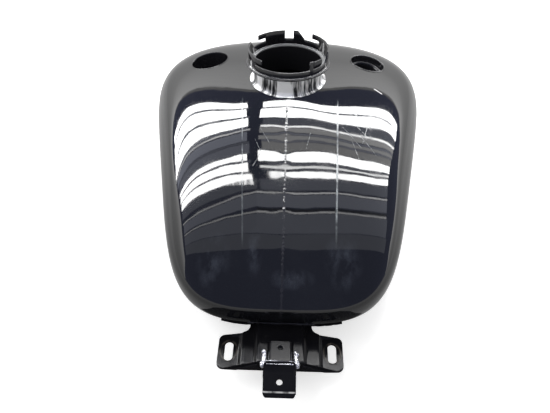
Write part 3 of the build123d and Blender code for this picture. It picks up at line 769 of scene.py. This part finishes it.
# ---- pump neck
NECK_PLACE = Matrix.Translation((0, PUMP_Y, 0))
collar_profile = [(NECK_BORE, 150.2), (NECK_OUTER, 150.2), (NECK_OUTER, 178.5), (NECK_OUTER + 1.0, 182.0),
                  (NECK_OUTER + 3.6, 184.4), (FLANGE_R, 184.4), (FLANGE_R, NECK_TOP), (NECK_BORE, NECK_TOP)]
collar = lathe("pump_collar", rounded(collar_profile, 0.7), NECK_PLACE, NECK_SEGMENTS)
put(collar, COLLAR, "pump_neck_collar")

fillet_steps = offset(NECK_OUTER, 0, (0.02, 4.6), (0.5, 2.9), (1.3, 1.6), (2.4, 0.8), (3.8, 0.25), (5.2, 0.0),
                      (5.2, -0.9), (0.02, -0.9))
neck_ground = []
for radius, _ in fillet_steps:
    foot = around(radius, circle(NECK_SEGMENTS), 0)
    neck_ground.append(crown_height(foot[:, 0], PUMP_Y + foot[:, 1]))


def on_crown(k, angles):
    lumps = np.array([noise.noise(Vector((9 * math.cos(a), 9 * math.sin(a), k * 0.35))) for a in angles])
    return neck_ground[k] + fillet_steps[k][1] + (0.45 * lumps if k < 5 else 0)


fillet_feet = [(radius, 0.0) for radius, _ in fillet_steps]
neck_weld = lathe("pump_neck_fillet", fillet_feet, NECK_PLACE, NECK_SEGMENTS, on_crown, 80)
# the fillet wears the collar's material, so the painted highlight streaks run on into it
put(neck_weld, COLLAR, "pump_neck_weld")

seat_profile = [(45.4, 186.1), (55.0, 186.1), (55.0, 186.9), (50.8, 187.2), (50.4, 188.3), (48.6, 188.45),
                (48.0, 187.4), (46.8, 187.3), (46.4, 188.2), (45.4, 187.9)]
seal = lathe("seal_seat", rounded(seat_profile, 0.35), NECK_PLACE, NECK_SEGMENTS)
put(seal, RUBBER, "pump_seal_seat", slot="seat_rubber")


# ---- cam ring
HOOK_TIPS = (52.0, 142.0, 232.0, 322.0)
HOOK_LENGTH, HOOK_GAP, HOOK_RISE, RING_STEP = 14.5, 13.0, 11.0, 1.5
RING_INNER, RING_OUTER, RING_LOW, RING_SLOT = 51.9, 53.5, 195.0, 200.0
LOW_ARCS = ((83.0, 96.0), (244.0, 302.0))


def ring_tops(angle):
    """The wall's solid spans at an angle: (from, to) heights."""
    base = ring_low[2] + 1.0
    for low, high in LOW_ARCS:
        if low <= angle < high:
            return [(base, RING_LOW)]
    for tip in HOOK_TIPS:
        past = angle - tip
        if 0 <= past < HOOK_GAP:
            return [(base, RING_LOW)]
        if HOOK_GAP <= past < HOOK_GAP + HOOK_RISE:
            return [(base, RING_LOW + (RING_TOP - RING_LOW) * (past - HOOK_GAP) / HOOK_RISE)]
        if -HOOK_LENGTH < past < 0:
            slot = RING_SLOT - 1.5 * max(0.0, 1 - (past + HOOK_LENGTH) / RING_STEP)
            return [(base, RING_LOW), (slot, RING_TOP)]
    return [(base, RING_TOP)]


def ring_wall():
    """Walks the ring in small steps and makes the outside face of the wall, which is then
    given its thickness."""
    mesh = bmesh.new()
    edges = {0.0, 360.0}
    for low, high in LOW_ARCS:
        edges |= {low, high}
    for tip in HOOK_TIPS:
        edges |= {(tip + d) % 360
                  for d in (0, HOOK_GAP, HOOK_GAP + HOOK_RISE, -HOOK_LENGTH, RING_STEP - HOOK_LENGTH)}
    stops = sorted(edges)
    angles = [a for low, high in zip(stops, stops[1:])
              for a in np.linspace(low, high, max(2, int((high - low) / RING_STEP) + 2))[:-1]] + [360.0]
    made = {}

    def corner(angle, height):
        key = (round(angle % 360, 4), round(height, 3))
        if key not in made:
            a = math.radians(angle)
            at = Vector((RING_OUTER * math.cos(a), PUMP_Y + RING_OUTER * math.sin(a), height))
            made[key] = mesh.verts.new(at * MM)
        return made[key]

    def from_axis(face):
        middle = face.calc_center_median()
        return middle - Vector((0, PUMP_Y * MM, middle.z))

    for low, high in zip(angles, angles[1:]):
        spans_low, spans_high = ring_tops(low + 1e-6), ring_tops(high - 1e-6)
        for (a0, a1), (b0, b1) in zip(spans_low, spans_high):
            levels = 3 if a1 > RING_LOW + 0.01 or b1 > RING_LOW + 0.01 else 1
            split = [(a0 + (a1 - a0) * k / levels, b0 + (b1 - b0) * k / levels) for k in range(levels + 1)]
            if a0 < RING_LOW - 1 and levels == 3:
                split = [(a0, b0)] + [(min(h, a1), min(h, b1)) for h in (RING_LOW, RING_SLOT)] + [(a1, b1)]
            for (p, q), (r, s) in zip(split, split[1:]):
                if r - p < 1e-3 and s - q < 1e-3:
                    continue
                loop = [corner(low, p), corner(high, q), corner(high, s), corner(low, r)]
                unique = [v for i, v in enumerate(loop) if v not in loop[:i]]
                if len(unique) > 2 and mesh.faces.get(unique) is None:
                    mesh.faces.new(unique)
    return sheet_piece("ring_wall", mesh, from_axis, RING_OUTER - RING_INNER, 0.35, 2, 40)


wall = ring_wall()
base_profile = [(RING_INNER, 186.1), (55.2, 186.1), (55.2, 187.25), (RING_OUTER + 0.7, 187.3),
                (RING_OUTER + 0.1, 188.0), (RING_INNER, 188.0)]
ring_base = lathe("ring_base", rounded(base_profile, 0.35), NECK_PLACE, NECK_SEGMENTS)
put(soften(joined("cam_ring", [wall, ring_base]), 50), PART_PAINT, "pump_cam_ring")
# the paint round the neck mirrors only the studio
for name in ("pump_collar", "pump_neck_fillet", "seal_seat", "cam_ring"):
    bpy.data.objects[name].visible_glossy = False


# ---- filler and gauge
RIGHT_PLACE, LEFT_PLACE = side_place(1), side_place(-1)


def crown_over(place, radius):
    """Height of the shell above the side place's plane, round a circle of that radius."""
    height = np.zeros(SIDE_SEGMENTS)
    for _ in range(6):
        world = placed(around(radius, circle(SIDE_SEGMENTS), height), place)
        height = height + (crown_height(world[:, 0], world[:, 1]) - world[:, 2]) / place[2][2]
    return height


def well(name, place, profile, follows):
    """A turned piece whose listed corners ride up and down with the shell."""
    lifts = {k: crown_over(place, profile[k][0]) for k in follows}
    return lathe(name, profile, place, SIDE_SEGMENTS, lambda k, angles: lifts.get(k, 0 * angles), 40)


hole = FILLER_HOLE - 0.05
lip = offset(hole, 0, (0, -3.5), (0, 0.1), (0.5, 0.55), (0.2, 0.75), (-0.5, 0.8), (-1.1, 0.5), (-1.45, -0.2),
             (-1.5, -1.4))
well_down = offset(hole, -FILLER_DEPTH, (-1.5, 1.2), (-1.9, 0.35), (-2.8, 0))
well_down += offset(FILLER_TUBE, -FILLER_DEPTH, (0.4, 0), (0, -0.4), (0, -24.0), (1.5, -24.0), (1.5, -1.5))
well_down.append((hole, -FILLER_DEPTH - 1.5))
put(well("filler_well", RIGHT_PLACE, lip + well_down, range(len(lip))), PART_PAINT, "filler_neck")
seat_ring = [(17.6, -9.9), (21.0, -9.9), (21.0, -8.8), (20.0, -7.8), (18.4, -7.8), (17.6, -8.6)]
filler_seat = lathe("filler_seat", rounded(seat_ring, 0.4), RIGHT_PLACE, 128)
put(filler_seat, MOUTH, "filler_seat_ring", slot="inner_steel")

hole = GAUGE_HOLE - 0.05
lip = offset(hole, 0, (0, -3.5), (0, 0.05), (0.35, 0.35), (-0.2, 0.5), (-0.9, 0.3), (-1.35, -0.3),
             (-1.45, -1.4))
cup_down = offset(hole, -GAUGE_DEPTH, (-1.45, 1.4), (-2.0, 0.4), (-3.0, 0))
cup_down += [(6.0, -GAUGE_DEPTH), (6.0, -GAUGE_DEPTH - 1.5), (hole, -GAUGE_DEPTH - 1.5)]
put(well("gauge_well", LEFT_PLACE, lip + cup_down, range(len(lip))), PART_PAINT, "gauge_cup")


# ---- rear bracket and console tab
def bent(outline, holes, height, thickness, name, step=1.6):
    """A sheet cut to an outline and laid over height(x, y), with its thickness below. Points
    inside are close enough together to follow the bends."""
    from_x, to_x = min(p[0] for p in outline), max(p[0] for p in outline)
    from_y, to_y = min(p[1] for p in outline), max(p[1] for p in outline)
    xs, ys = np.arange(from_x + 0.6, to_x - 0.5, step), np.arange(from_y + 0.9, to_y - 0.5, 3.2)
    inside = [Vector((x, y)) for y in ys for x in xs]
    points, edges = [], []
    for loop in [outline] + holes:
        start = len(points)
        points += [Vector(p) for p in loop]
        edges += [(start + i, start + (i + 1) % len(loop)) for i in range(len(loop))]
    flat, _, triangles = geometry.delaunay_2d_cdt(points + inside, edges, [], 2, 1e-4)[:3]
    mesh = bmesh.new()
    verts = [mesh.verts.new((p[0] * MM, p[1] * MM, height(p[0], p[1]) * MM)) for p in flat]
    for triangle in triangles:
        x, y = (sum(flat[i][k] for i in triangle) / 3 for k in (0, 1))
        if within(x, y, outline) and not any(within(x, y, hole) for hole in holes):
            mesh.faces.new([verts[i] for i in triangle])
    for vert in [v for v in mesh.verts if not v.link_faces]:
        mesh.verts.remove(vert)
    return sheet_piece(name, mesh, lambda face: Vector((0, 0, 1)), thickness, 0.5, 3, 50)


def within(x, y, loop):
    result = False
    for (ax, ay), (bx, by) in zip(loop, loop[1:] + loop[:1]):
        if (ay > y) != (by > y) and x < (bx - ax) * (y - ay) / (by - ay) + ax:
            result = not result
    return result


def arc(cx, cy, radius, start, end, steps=8):
    return [(cx + radius * math.cos(math.radians(a)), cy + radius * math.sin(math.radians(a)))
            for a in np.linspace(start, end, steps)]


def eased(points, blend):
    """A height over a distance: straight runs between (distance, height) points, with the
    corners rounded over blend to either side."""
    def height(x):
        total = 0.0
        for k in range(-4, 5):
            total += np.interp(x + k * blend / 4, [p[0] for p in points], [p[1] for p in points])
        return total / 9
    return height


bracket_low, bracket_high = node_mm("rear_mount_bracket")
EAR_SPAN = bracket_high[0]
EAR_REAR, ROOT_FRONT = bracket_low[1], bracket_high[1]
EAR_FRONT = EAR_REAR + 42.0
across = eased([(0, 44.4), (24.0, 44.4), (27.0, 39.0), (40.0, 39.0), (44.0, 33.5), (66.0, 33.5)], 1.3)
SLOT_MIDDLE = PUMP_Y - SLOT_BACK


def bracket_outline():
    right = [(33.0, ROOT_FRONT), (33.0, EAR_FRONT + 8.5)]
    right += arc(41.5, EAR_FRONT + 8.5, 8.5, 180, 270)[1:]
    right += arc(EAR_SPAN - 7, EAR_FRONT - 7, 7, 90, 0) + arc(EAR_SPAN - 7, EAR_REAR + 7, 7, 0, -90)
    return right + [(-x, y) for x, y in reversed(right)]


def slot_hole(x, y, radius, reach):
    return arc(x, y + reach, radius, 0, 180, 14) + arc(x, y - reach, radius, 180, 360, 14)


bracket = bent(bracket_outline(), [slot_hole(s * SLOT_SIDE, SLOT_MIDDLE, 4.5, 8.0) for s in (1, -1)],
               lambda x, y: float(across(abs(x))), 3.0, "rear_bracket")
put(bracket, BRACKET_PAINT, "rear_mount_bracket")

TAB_END = node_mm("console_tab")[0][1]
TAB_STEP, TAB_BOX_FRONT = PUMP_Y - STEP_BACK, PUMP_Y - BOX_BACK
tongue_run = eased([(TAB_END - 1, 34.6), (TAB_END + 3, 40.2), (TAB_STEP - 3, 45.9), (TAB_STEP + 0.5, 49.4),
                    (TAB_STEP + 4, 50.0)], 0.8)


def tab_outline():
    right = [(10.4, TAB_STEP + 3.2), (11.5, TAB_STEP + 0.6), (15.4, TAB_STEP + 0.2), (16.0, TAB_STEP - 0.8)]
    right += arc(16.0 - 3, TAB_END + 3.1, 3, 0, -90, 7)
    return right + [(-x, y) for x, y in reversed(right)]


tongue = bent(tab_outline(), [arc(0, PUMP_Y - TAB_HOLE_BACK, 3.2, 0, 345, 24)],
              lambda x, y: float(tongue_run(y)), 2.4, "tab_tongue", 1.5)


def tab_top():
    """The raised box: a folded strip with a dimple, closed at its front."""
    over = eased([(0, 50.0), (10.25, 50.0), (13.5, 44.6), (14, 44.6)], 0.9)
    rows, columns, foot = 60, 73, 44.5
    points = []
    for y in np.linspace(TAB_BOX_FRONT, TAB_STEP + 2.0, rows):
        front = smooth((TAB_BOX_FRONT - y) / 2.6)
        for x in np.linspace(-13.5, 13.5, columns):
            away = math.hypot(x, y - (PUMP_Y - DIMPLE_BACK))
            dent = 2.0 * (1 - smooth((away - 0.8) / 2.3))
            points.append((x, y, foot + (float(over(abs(x))) - foot) * front - dent))
    under = [(x, y, foot - 0.05) for x, y, z in points]
    return mesh_object("tab_top", points + under, skin_faces(rows, columns), 60)


tab = joined("console_tab_piece", [tongue, tab_top()])
put(soften(tab, 50), BRACKET_PAINT, "console_tab")


def weld_lumps(side, x, z, y_from, y_to, size, seed):
    """Overlapping beads of weld metal, merged and roughened."""
    mesh = bmesh.new()
    count = max(2, int(abs(y_to - y_from) / 2.1))
    for i in range(count + 1):
        y = y_from + (y_to - y_from) * i / count
        shift = noise.noise(Vector((i * 0.9, seed, side)))
        scale = size * (1 + 0.22 * noise.noise(Vector((seed, i * 1.3, side))))
        place = Matrix.Translation(Vector((side * (x + shift), y, z + 0.5 * shift)) * MM)
        bmesh.ops.create_icosphere(mesh, subdivisions=3, radius=scale * MM, matrix=place)
    piece = object_of("weld", mesh)
    remesh = piece.modifiers.new("merge", "REMESH")
    remesh.mode = "VOXEL"
    remesh.voxel_size = 0.35 * MM
    calm = piece.modifiers.new("calm", "SMOOTH")
    calm.iterations = 4
    baked(piece)
    for vert in piece.data.vertices:
        at = vert.co / MM
        lump = noise.noise(at / 1.9 + Vector((seed, 0, 0))) + 0.5 * noise.noise(at / 0.8)
        vert.co = vert.co + vert.normal * lump * 0.38 * MM
    return piece


tab_welds = [weld_lumps(s, 16.2, 44.6, TAB_STEP + 1, TAB_STEP + 15.5, 2.5, 4.0 + s) for s in (1, -1)]
tab_welds += [weld_lumps(s, 17.6, 43.6, TAB_STEP + 0.0, TAB_STEP + 4.5, 2.3, 14.0 + s) for s in (1, -1)]
step_line = np.array([(x, TAB_STEP - 0.6, 47.9) for x in np.linspace(-15.0, 15.0, 90)])
for shift, size, seed in (((0, 0, 0), (0.55, 0.5), 51.0), ((0, 2.6, 1.7), (0.4, 0.4), 57.0)):
    tab_welds.append(bead("weld", step_line + shift, (0, -0.6, 0.8), (0, 0.8, 0.6), *size, seed, 0.7, 0.4))
welds = joined("console_weld_beads", tab_welds)
put(soften(welds, 80), WELD_STEEL, "console_tab_welds", slot="bare_weld")
root_welds = [weld_lumps(s, 24.6, 44.0, -205, -150, 1.7, 7.0 + s) for s in (1, -1)]
across_root = np.linspace(-36.0, 36.0, 150)
ROOT_Z = 45.6
root_tilt = solve(lambda tilt: ROOT_Z - surface(tilt, -PI / 2)[..., 2], PI / 2, 2.4, across_root.shape)
root_line = surface(root_tilt, -PI / 2)
root_line[:, 0] = across_root
root_line[:, 2] += 0.5 * np.sin(across_root / 5.1)
root_welds.append(bead("weld", root_line, (0, -0.7, 0.7), (0, 0.7, 0.7), 1.5, 1.2, 41.0, 0.6, 1.0))
roots = joined("bracket_root_beads", root_welds)
put(soften(roots, 80), WELD_PAINT, "rear_bracket_welds", slot="bare_weld")


# ---- the carried-over CAD nodes
NODE_FINISHES = {
    "left_floor_pan": PAN_PAINT, "right_floor_pan": PAN_PAINT, "saddle_tunnel": PAN_PAINT,
    "rear_reinforcement_plate": BRACKET_PAINT, "front_mount_bridge": PAN_PAINT,
    "front_weld_nut_right": ZINC, "front_weld_nut_left": ZINC, "vent_nipple": ZINC,
    "vent_tube": INNER, "front_baffle": INNER, "rear_baffle": INNER, "gauge_wire_conduit": INNER,
}
for name, finish in NODE_FINISHES.items():
    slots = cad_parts[name].material_slots
    if not slots:
        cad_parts[name].data.materials.append(finish)
    for material_slot in slots:
        material_slot.material = finish


# ---- studio
def glow(name, strength, tone=(1, 1, 1)):
    """A material that only gives light."""
    lamp = bpy.data.materials.new(name)
    lamp.use_nodes = True
    tree = lamp.node_tree
    tree.nodes.clear()
    out = tree.nodes.new("ShaderNodeOutputMaterial")
    shine = tree.nodes.new("ShaderNodeEmission")
    shine.inputs["Color"].default_value = (*tone, 1)
    shine.inputs["Strength"].default_value = strength
    tree.links.new(shine.outputs[0], out.inputs["Surface"])
    return lamp


def studio_sheet(name, points, faces, material, seen=("glossy",)):
    mesh = bpy.data.meshes.new(name)
    mesh.from_pydata([tuple(p) for p in points], [], faces)
    sheet = new_object(name, mesh)
    mesh.materials.append(material)
    sheet.visible_camera = "camera" in seen
    sheet.visible_diffuse = "diffuse" in seen
    sheet.visible_glossy = "glossy" in seen
    sheet.visible_transmission = False
    sheet.visible_shadow = "shadow" in seen
    return sheet


def plane(name, size, z, material, seen):
    points = [(-size, -size, z), (size, -size, z), (size, size, z), (-size, size, z)]
    return studio_sheet(name, points, [(0, 1, 2, 3)], material, seen)


floor_paint = Finish("white_floor")
floor_paint.base(floor_paint.mix(floor_paint.noise(6.0, 4.0), (0.90, 0.90, 0.90), (0.93, 0.93, 0.93)))
floor_paint.rough(0.9)
floor_paint.shader.inputs["Emission Color"].default_value = (1, 1, 1, 1)
floor_paint.shader.inputs["Emission Strength"].default_value = 0.55
plane("floor", 12.0, -0.0005, floor_paint.material, ("camera", "diffuse", "shadow"))

# what the paint mirrors of the floor: dimmer close to the tank, where its shadow lies
floor_seen = Finish("floor_seen_in_paint")
floor_seen.base((0, 0, 0, 1))
floor_seen.shader.inputs["Specular IOR Level"].default_value = 0.0
floor_seen.shader.inputs["Emission Color"].default_value = (1, 1, 1, 1)
away = floor_seen.length(floor_seen.x, floor_seen.y)
floor_seen.feed(floor_seen.shader.inputs["Emission Strength"], floor_seen.spread(away, 0.24, 0.7, 0.50, 0.92))
plane("floor_seen", 12.0, -0.001, floor_seen.material, ("glossy",))

CEILING_Z = 1.5
BEAM_END, BEAM_EDGE = 0.46, -0.08
# ceiling light rows above the viewer's right and left: (near edge, far edge, brightness), metres.
# The last of the left rows bend to meet the right ones, whose edges follow.
RIGHT_ROWS = (
    (1.39, 1.52, 24), (1.36, 1.39, 1.2), (1.205, 1.36, 24), (1.09, 1.205, 1.0), (1.06, 1.085, 16),
    (0.985, 1.05, 3.0), (0.955, 0.975, 1.7), (0.905, 0.95, 2.8), (0.885, 0.90, 1.6), (0.80, 0.88, 2.2),
    (0.693, 0.79, 24), (0.665, 0.685, 1.2), (0.64, 0.66, 14.0), (0.618, 0.632, 1.2), (0.559, 0.612, 24),
    (0.465, 0.550, 1.1), (0.437, 0.449, 6.0), (0.335, 0.43, 1.3), (0.308, 0.325, 0.15), (0.29, 0.303, 4.0),
    (0.14, 0.285, 1.0), (0.0, 0.135, 0.75),
)
LEFT_ROWS = (
    (1.438, 1.539, 24), (1.412, 1.432, 1.4), (1.27, 1.408, 24), (1.242, 1.264, 1.6), (1.099, 1.238, 24),
    (1.06, 1.09, 1.5), (1.035, 1.055, 7.0), (0.90, 1.02, 1.9), (0.87, 0.893, 1.0), (0.765, 0.865, 1.4),
    (0.70, 0.758, 24), (0.682, 0.696, 1.4), (0.600, 0.678, 24), (0.585, 0.596, 1.4), (0.494, 0.581, 24),
    (0.392, 0.485, 0.9, 0.465, 0.55), (0.338, 0.35, 4.0, 0.437, 0.449), (0.24, 0.33, 1.2, 0.335, 0.43),
    (0.213, 0.226, 3.0, 0.29, 0.303), (0.09, 0.205, 0.95, 0.14, 0.285), (-0.07, 0.085, 0.75, 0.0, 0.135),
)
# how strongly the rows curve away to either side, and how far they reach, by near edge
RIGHT_BOW = ((0.0, 0.3, 0.6, 1.2), (0.45, 0.85, 1.1, 1.17), (3.1, 2.6, 2.6, 3.8))
LEFT_BOW = ((0.0, 0.2, 0.5, 0.76, 1.1, 1.5), (0.3, 0.45, 0.7, 0.76, 0.88, 1.12),
            (-2.4, -2.3, -2.8, -3.5, -5.7, -9.0))


def ceiling(name, rows, bow, near_x, far_x):
    """Rows of lights run from the dark beam in the middle of the ceiling to their far ends. The
    nearest rows have no beam between them."""
    for k, (near, far, power, *meets) in enumerate(rows):
        points, count = [], 61
        for y, middle_y in zip((near, far), meets or (near, far)):
            start = BEAM_EDGE
            if near > BEAM_END:
                start = near_x + (far_x - near_x) * (y - 0.5) + 0.022 * math.sin(2.4 * k)
            end = np.interp(near, bow[0], bow[2])
            xs = start + (end - start) * np.linspace(0, 1, count) ** 1.6
            ys = y + np.interp(y, bow[0], bow[1]) * (np.sqrt(1 + (xs / 1.5) ** 2) - 1)
            ys = ys + (middle_y - y) * np.exp(-np.abs(xs - start) / 0.30)
            points += [(x, y_bowed, CEILING_Z) for x, y_bowed in zip(xs, ys)]
        tone = (1.0, 1.0, 1.0) if power > 2 else (0.93, 0.98, 1.17)
        studio_sheet(f"{name}_{k}", points, grid_faces(2, count), glow(f"{name}_glow_{k}", power, tone))


ceiling("ceiling_right", RIGHT_ROWS, RIGHT_BOW, -0.04, -0.15)
ceiling("ceiling_left", LEFT_ROWS, LEFT_BOW, -0.12, -0.34)

# the pale sweep that stands round the front and sides: height of its top edge by direction
SWEEP_TOP = (
    (-96, 0.1), (-89, 1.5), (-82, 1.72), (-71, 1.63), (-64, 1.26), (-57, 0.61), (-53, 0.26), (-50, 0.43),
    (-46, 0.84), (-39, 1.43), (-31, 1.89), (-21, 2.28), (-13, 2.45), (-4, 2.55), (7, 2.44), (15, 2.34),
    (21, 2.19), (26, 2.03), (33, 1.76), (38, 1.47), (43, 1.13), (46, 0.87), (49, 0.59), (53, 0.56),
    (60, 0.42), (68, 0.62), (76, 0.80), (82, 0.3), (86, 0.05),
)
SWEEP_REACH, sweep_count = 3.2, 120
headings = np.radians(np.linspace(SWEEP_TOP[0][0], SWEEP_TOP[-1][0], sweep_count))
tops = np.interp(np.degrees(headings), *zip(*SWEEP_TOP))
tops = np.convolve(np.pad(tops, 2, "edge"), np.ones(5) / 5, "valid")
levels = np.concatenate([np.linspace(0, 0.97, 23), [1.0]])
sweep_points = [(SWEEP_REACH * math.sin(h), SWEEP_REACH * math.cos(h), 0.02 + share * top)
                for share in levels for h, top in zip(headings, tops)]
for k in range(len(levels) - 1):
    height = (levels[k] + levels[k + 1]) / 2
    power = np.interp(height, (0, 0.35, 0.6, 0.8, 1), (0.8, 1.0, 1.3, 2.0, 2.75))
    if k == len(levels) - 2:
        power = 0.9
    band = sweep_points[k * sweep_count:(k + 2) * sweep_count]
    studio_sheet(f"sweep_{k}", band, grid_faces(2, sweep_count), glow(f"sweep_glow_{k}", power))

DOME_REACH, dome_rows, dome_count = 8, 13, 48
dome_points = np.concatenate([
    around(DOME_REACH * math.cos(e), circle(dome_count), DOME_REACH * math.sin(e))
    for e in np.linspace(-0.02, PI / 2 - 0.02, dome_rows)])
dome_faces = grid_faces(dome_rows, dome_count, True)
dome_faces.append(tuple(range((dome_rows - 1) * dome_count, dome_rows * dome_count)))
studio_sheet("room", dome_points, dome_faces, glow("room_glow", 0.28, (0.86, 0.95, 1.45)))

# a dark card under the bracket, painted shade that stands in for the shadowed floor there, so that the paint
# above mirrors no bright slots
card = [(x, y, 0.026) for x, y in ((-0.10, -0.30), (0.10, -0.30), (0.10, -0.20), (-0.10, -0.20))]
studio_sheet("card", card, [(0, 1, 2, 3)], glow("card_glow", 0.06))

world = bpy.data.worlds.new("studio_world")
bpy.context.scene.world = world
world.use_nodes = True
world.node_tree.nodes["Background"].inputs["Color"].default_value = (1, 1, 1, 1)
world.node_tree.nodes["Background"].inputs["Strength"].default_value = 0.72
world.cycles_visibility.glossy = False

for name, place, size, power in (("key", (0.3, 1.6, 2.3), 1.6, 48.0), ("fill", (-1.8, -0.4, 2.2), 1.6, 18.0)):
    light = bpy.data.lights.new(name, "AREA")
    light.shape = "DISK"
    light.size = size
    light.energy = power
    lamp = new_object(name, light)
    lamp.location = place
    aim = Vector((0, 0, 0.05)) - Vector(place)
    lamp.rotation_euler = aim.to_track_quat("-Z", "Y").to_euler()
    lamp.visible_glossy = lamp.visible_camera = False

ahead = Vector((-0.0204, 0.7693, -0.6387)).normalized()
level_right = ahead.cross(Vector((0, 0, 1))).normalized()
level_up = level_right.cross(ahead)
roll = math.radians(0.45)
right = level_right * math.cos(roll) + level_up * math.sin(roll)
up = level_up * math.cos(roll) - level_right * math.sin(roll)
lens = bpy.data.cameras.new("camera")
lens.lens, lens.sensor_width = 39.27, 36.0
camera = new_object("camera", lens)
turned = Matrix((right, up, -ahead)).transposed().to_4x4()
camera.matrix_world = Matrix.Translation((0.0035, -0.62875, 0.5502)) @ turned
bpy.context.scene.camera = camera
bpy.context.scene.view_settings.view_transform = "Standard"
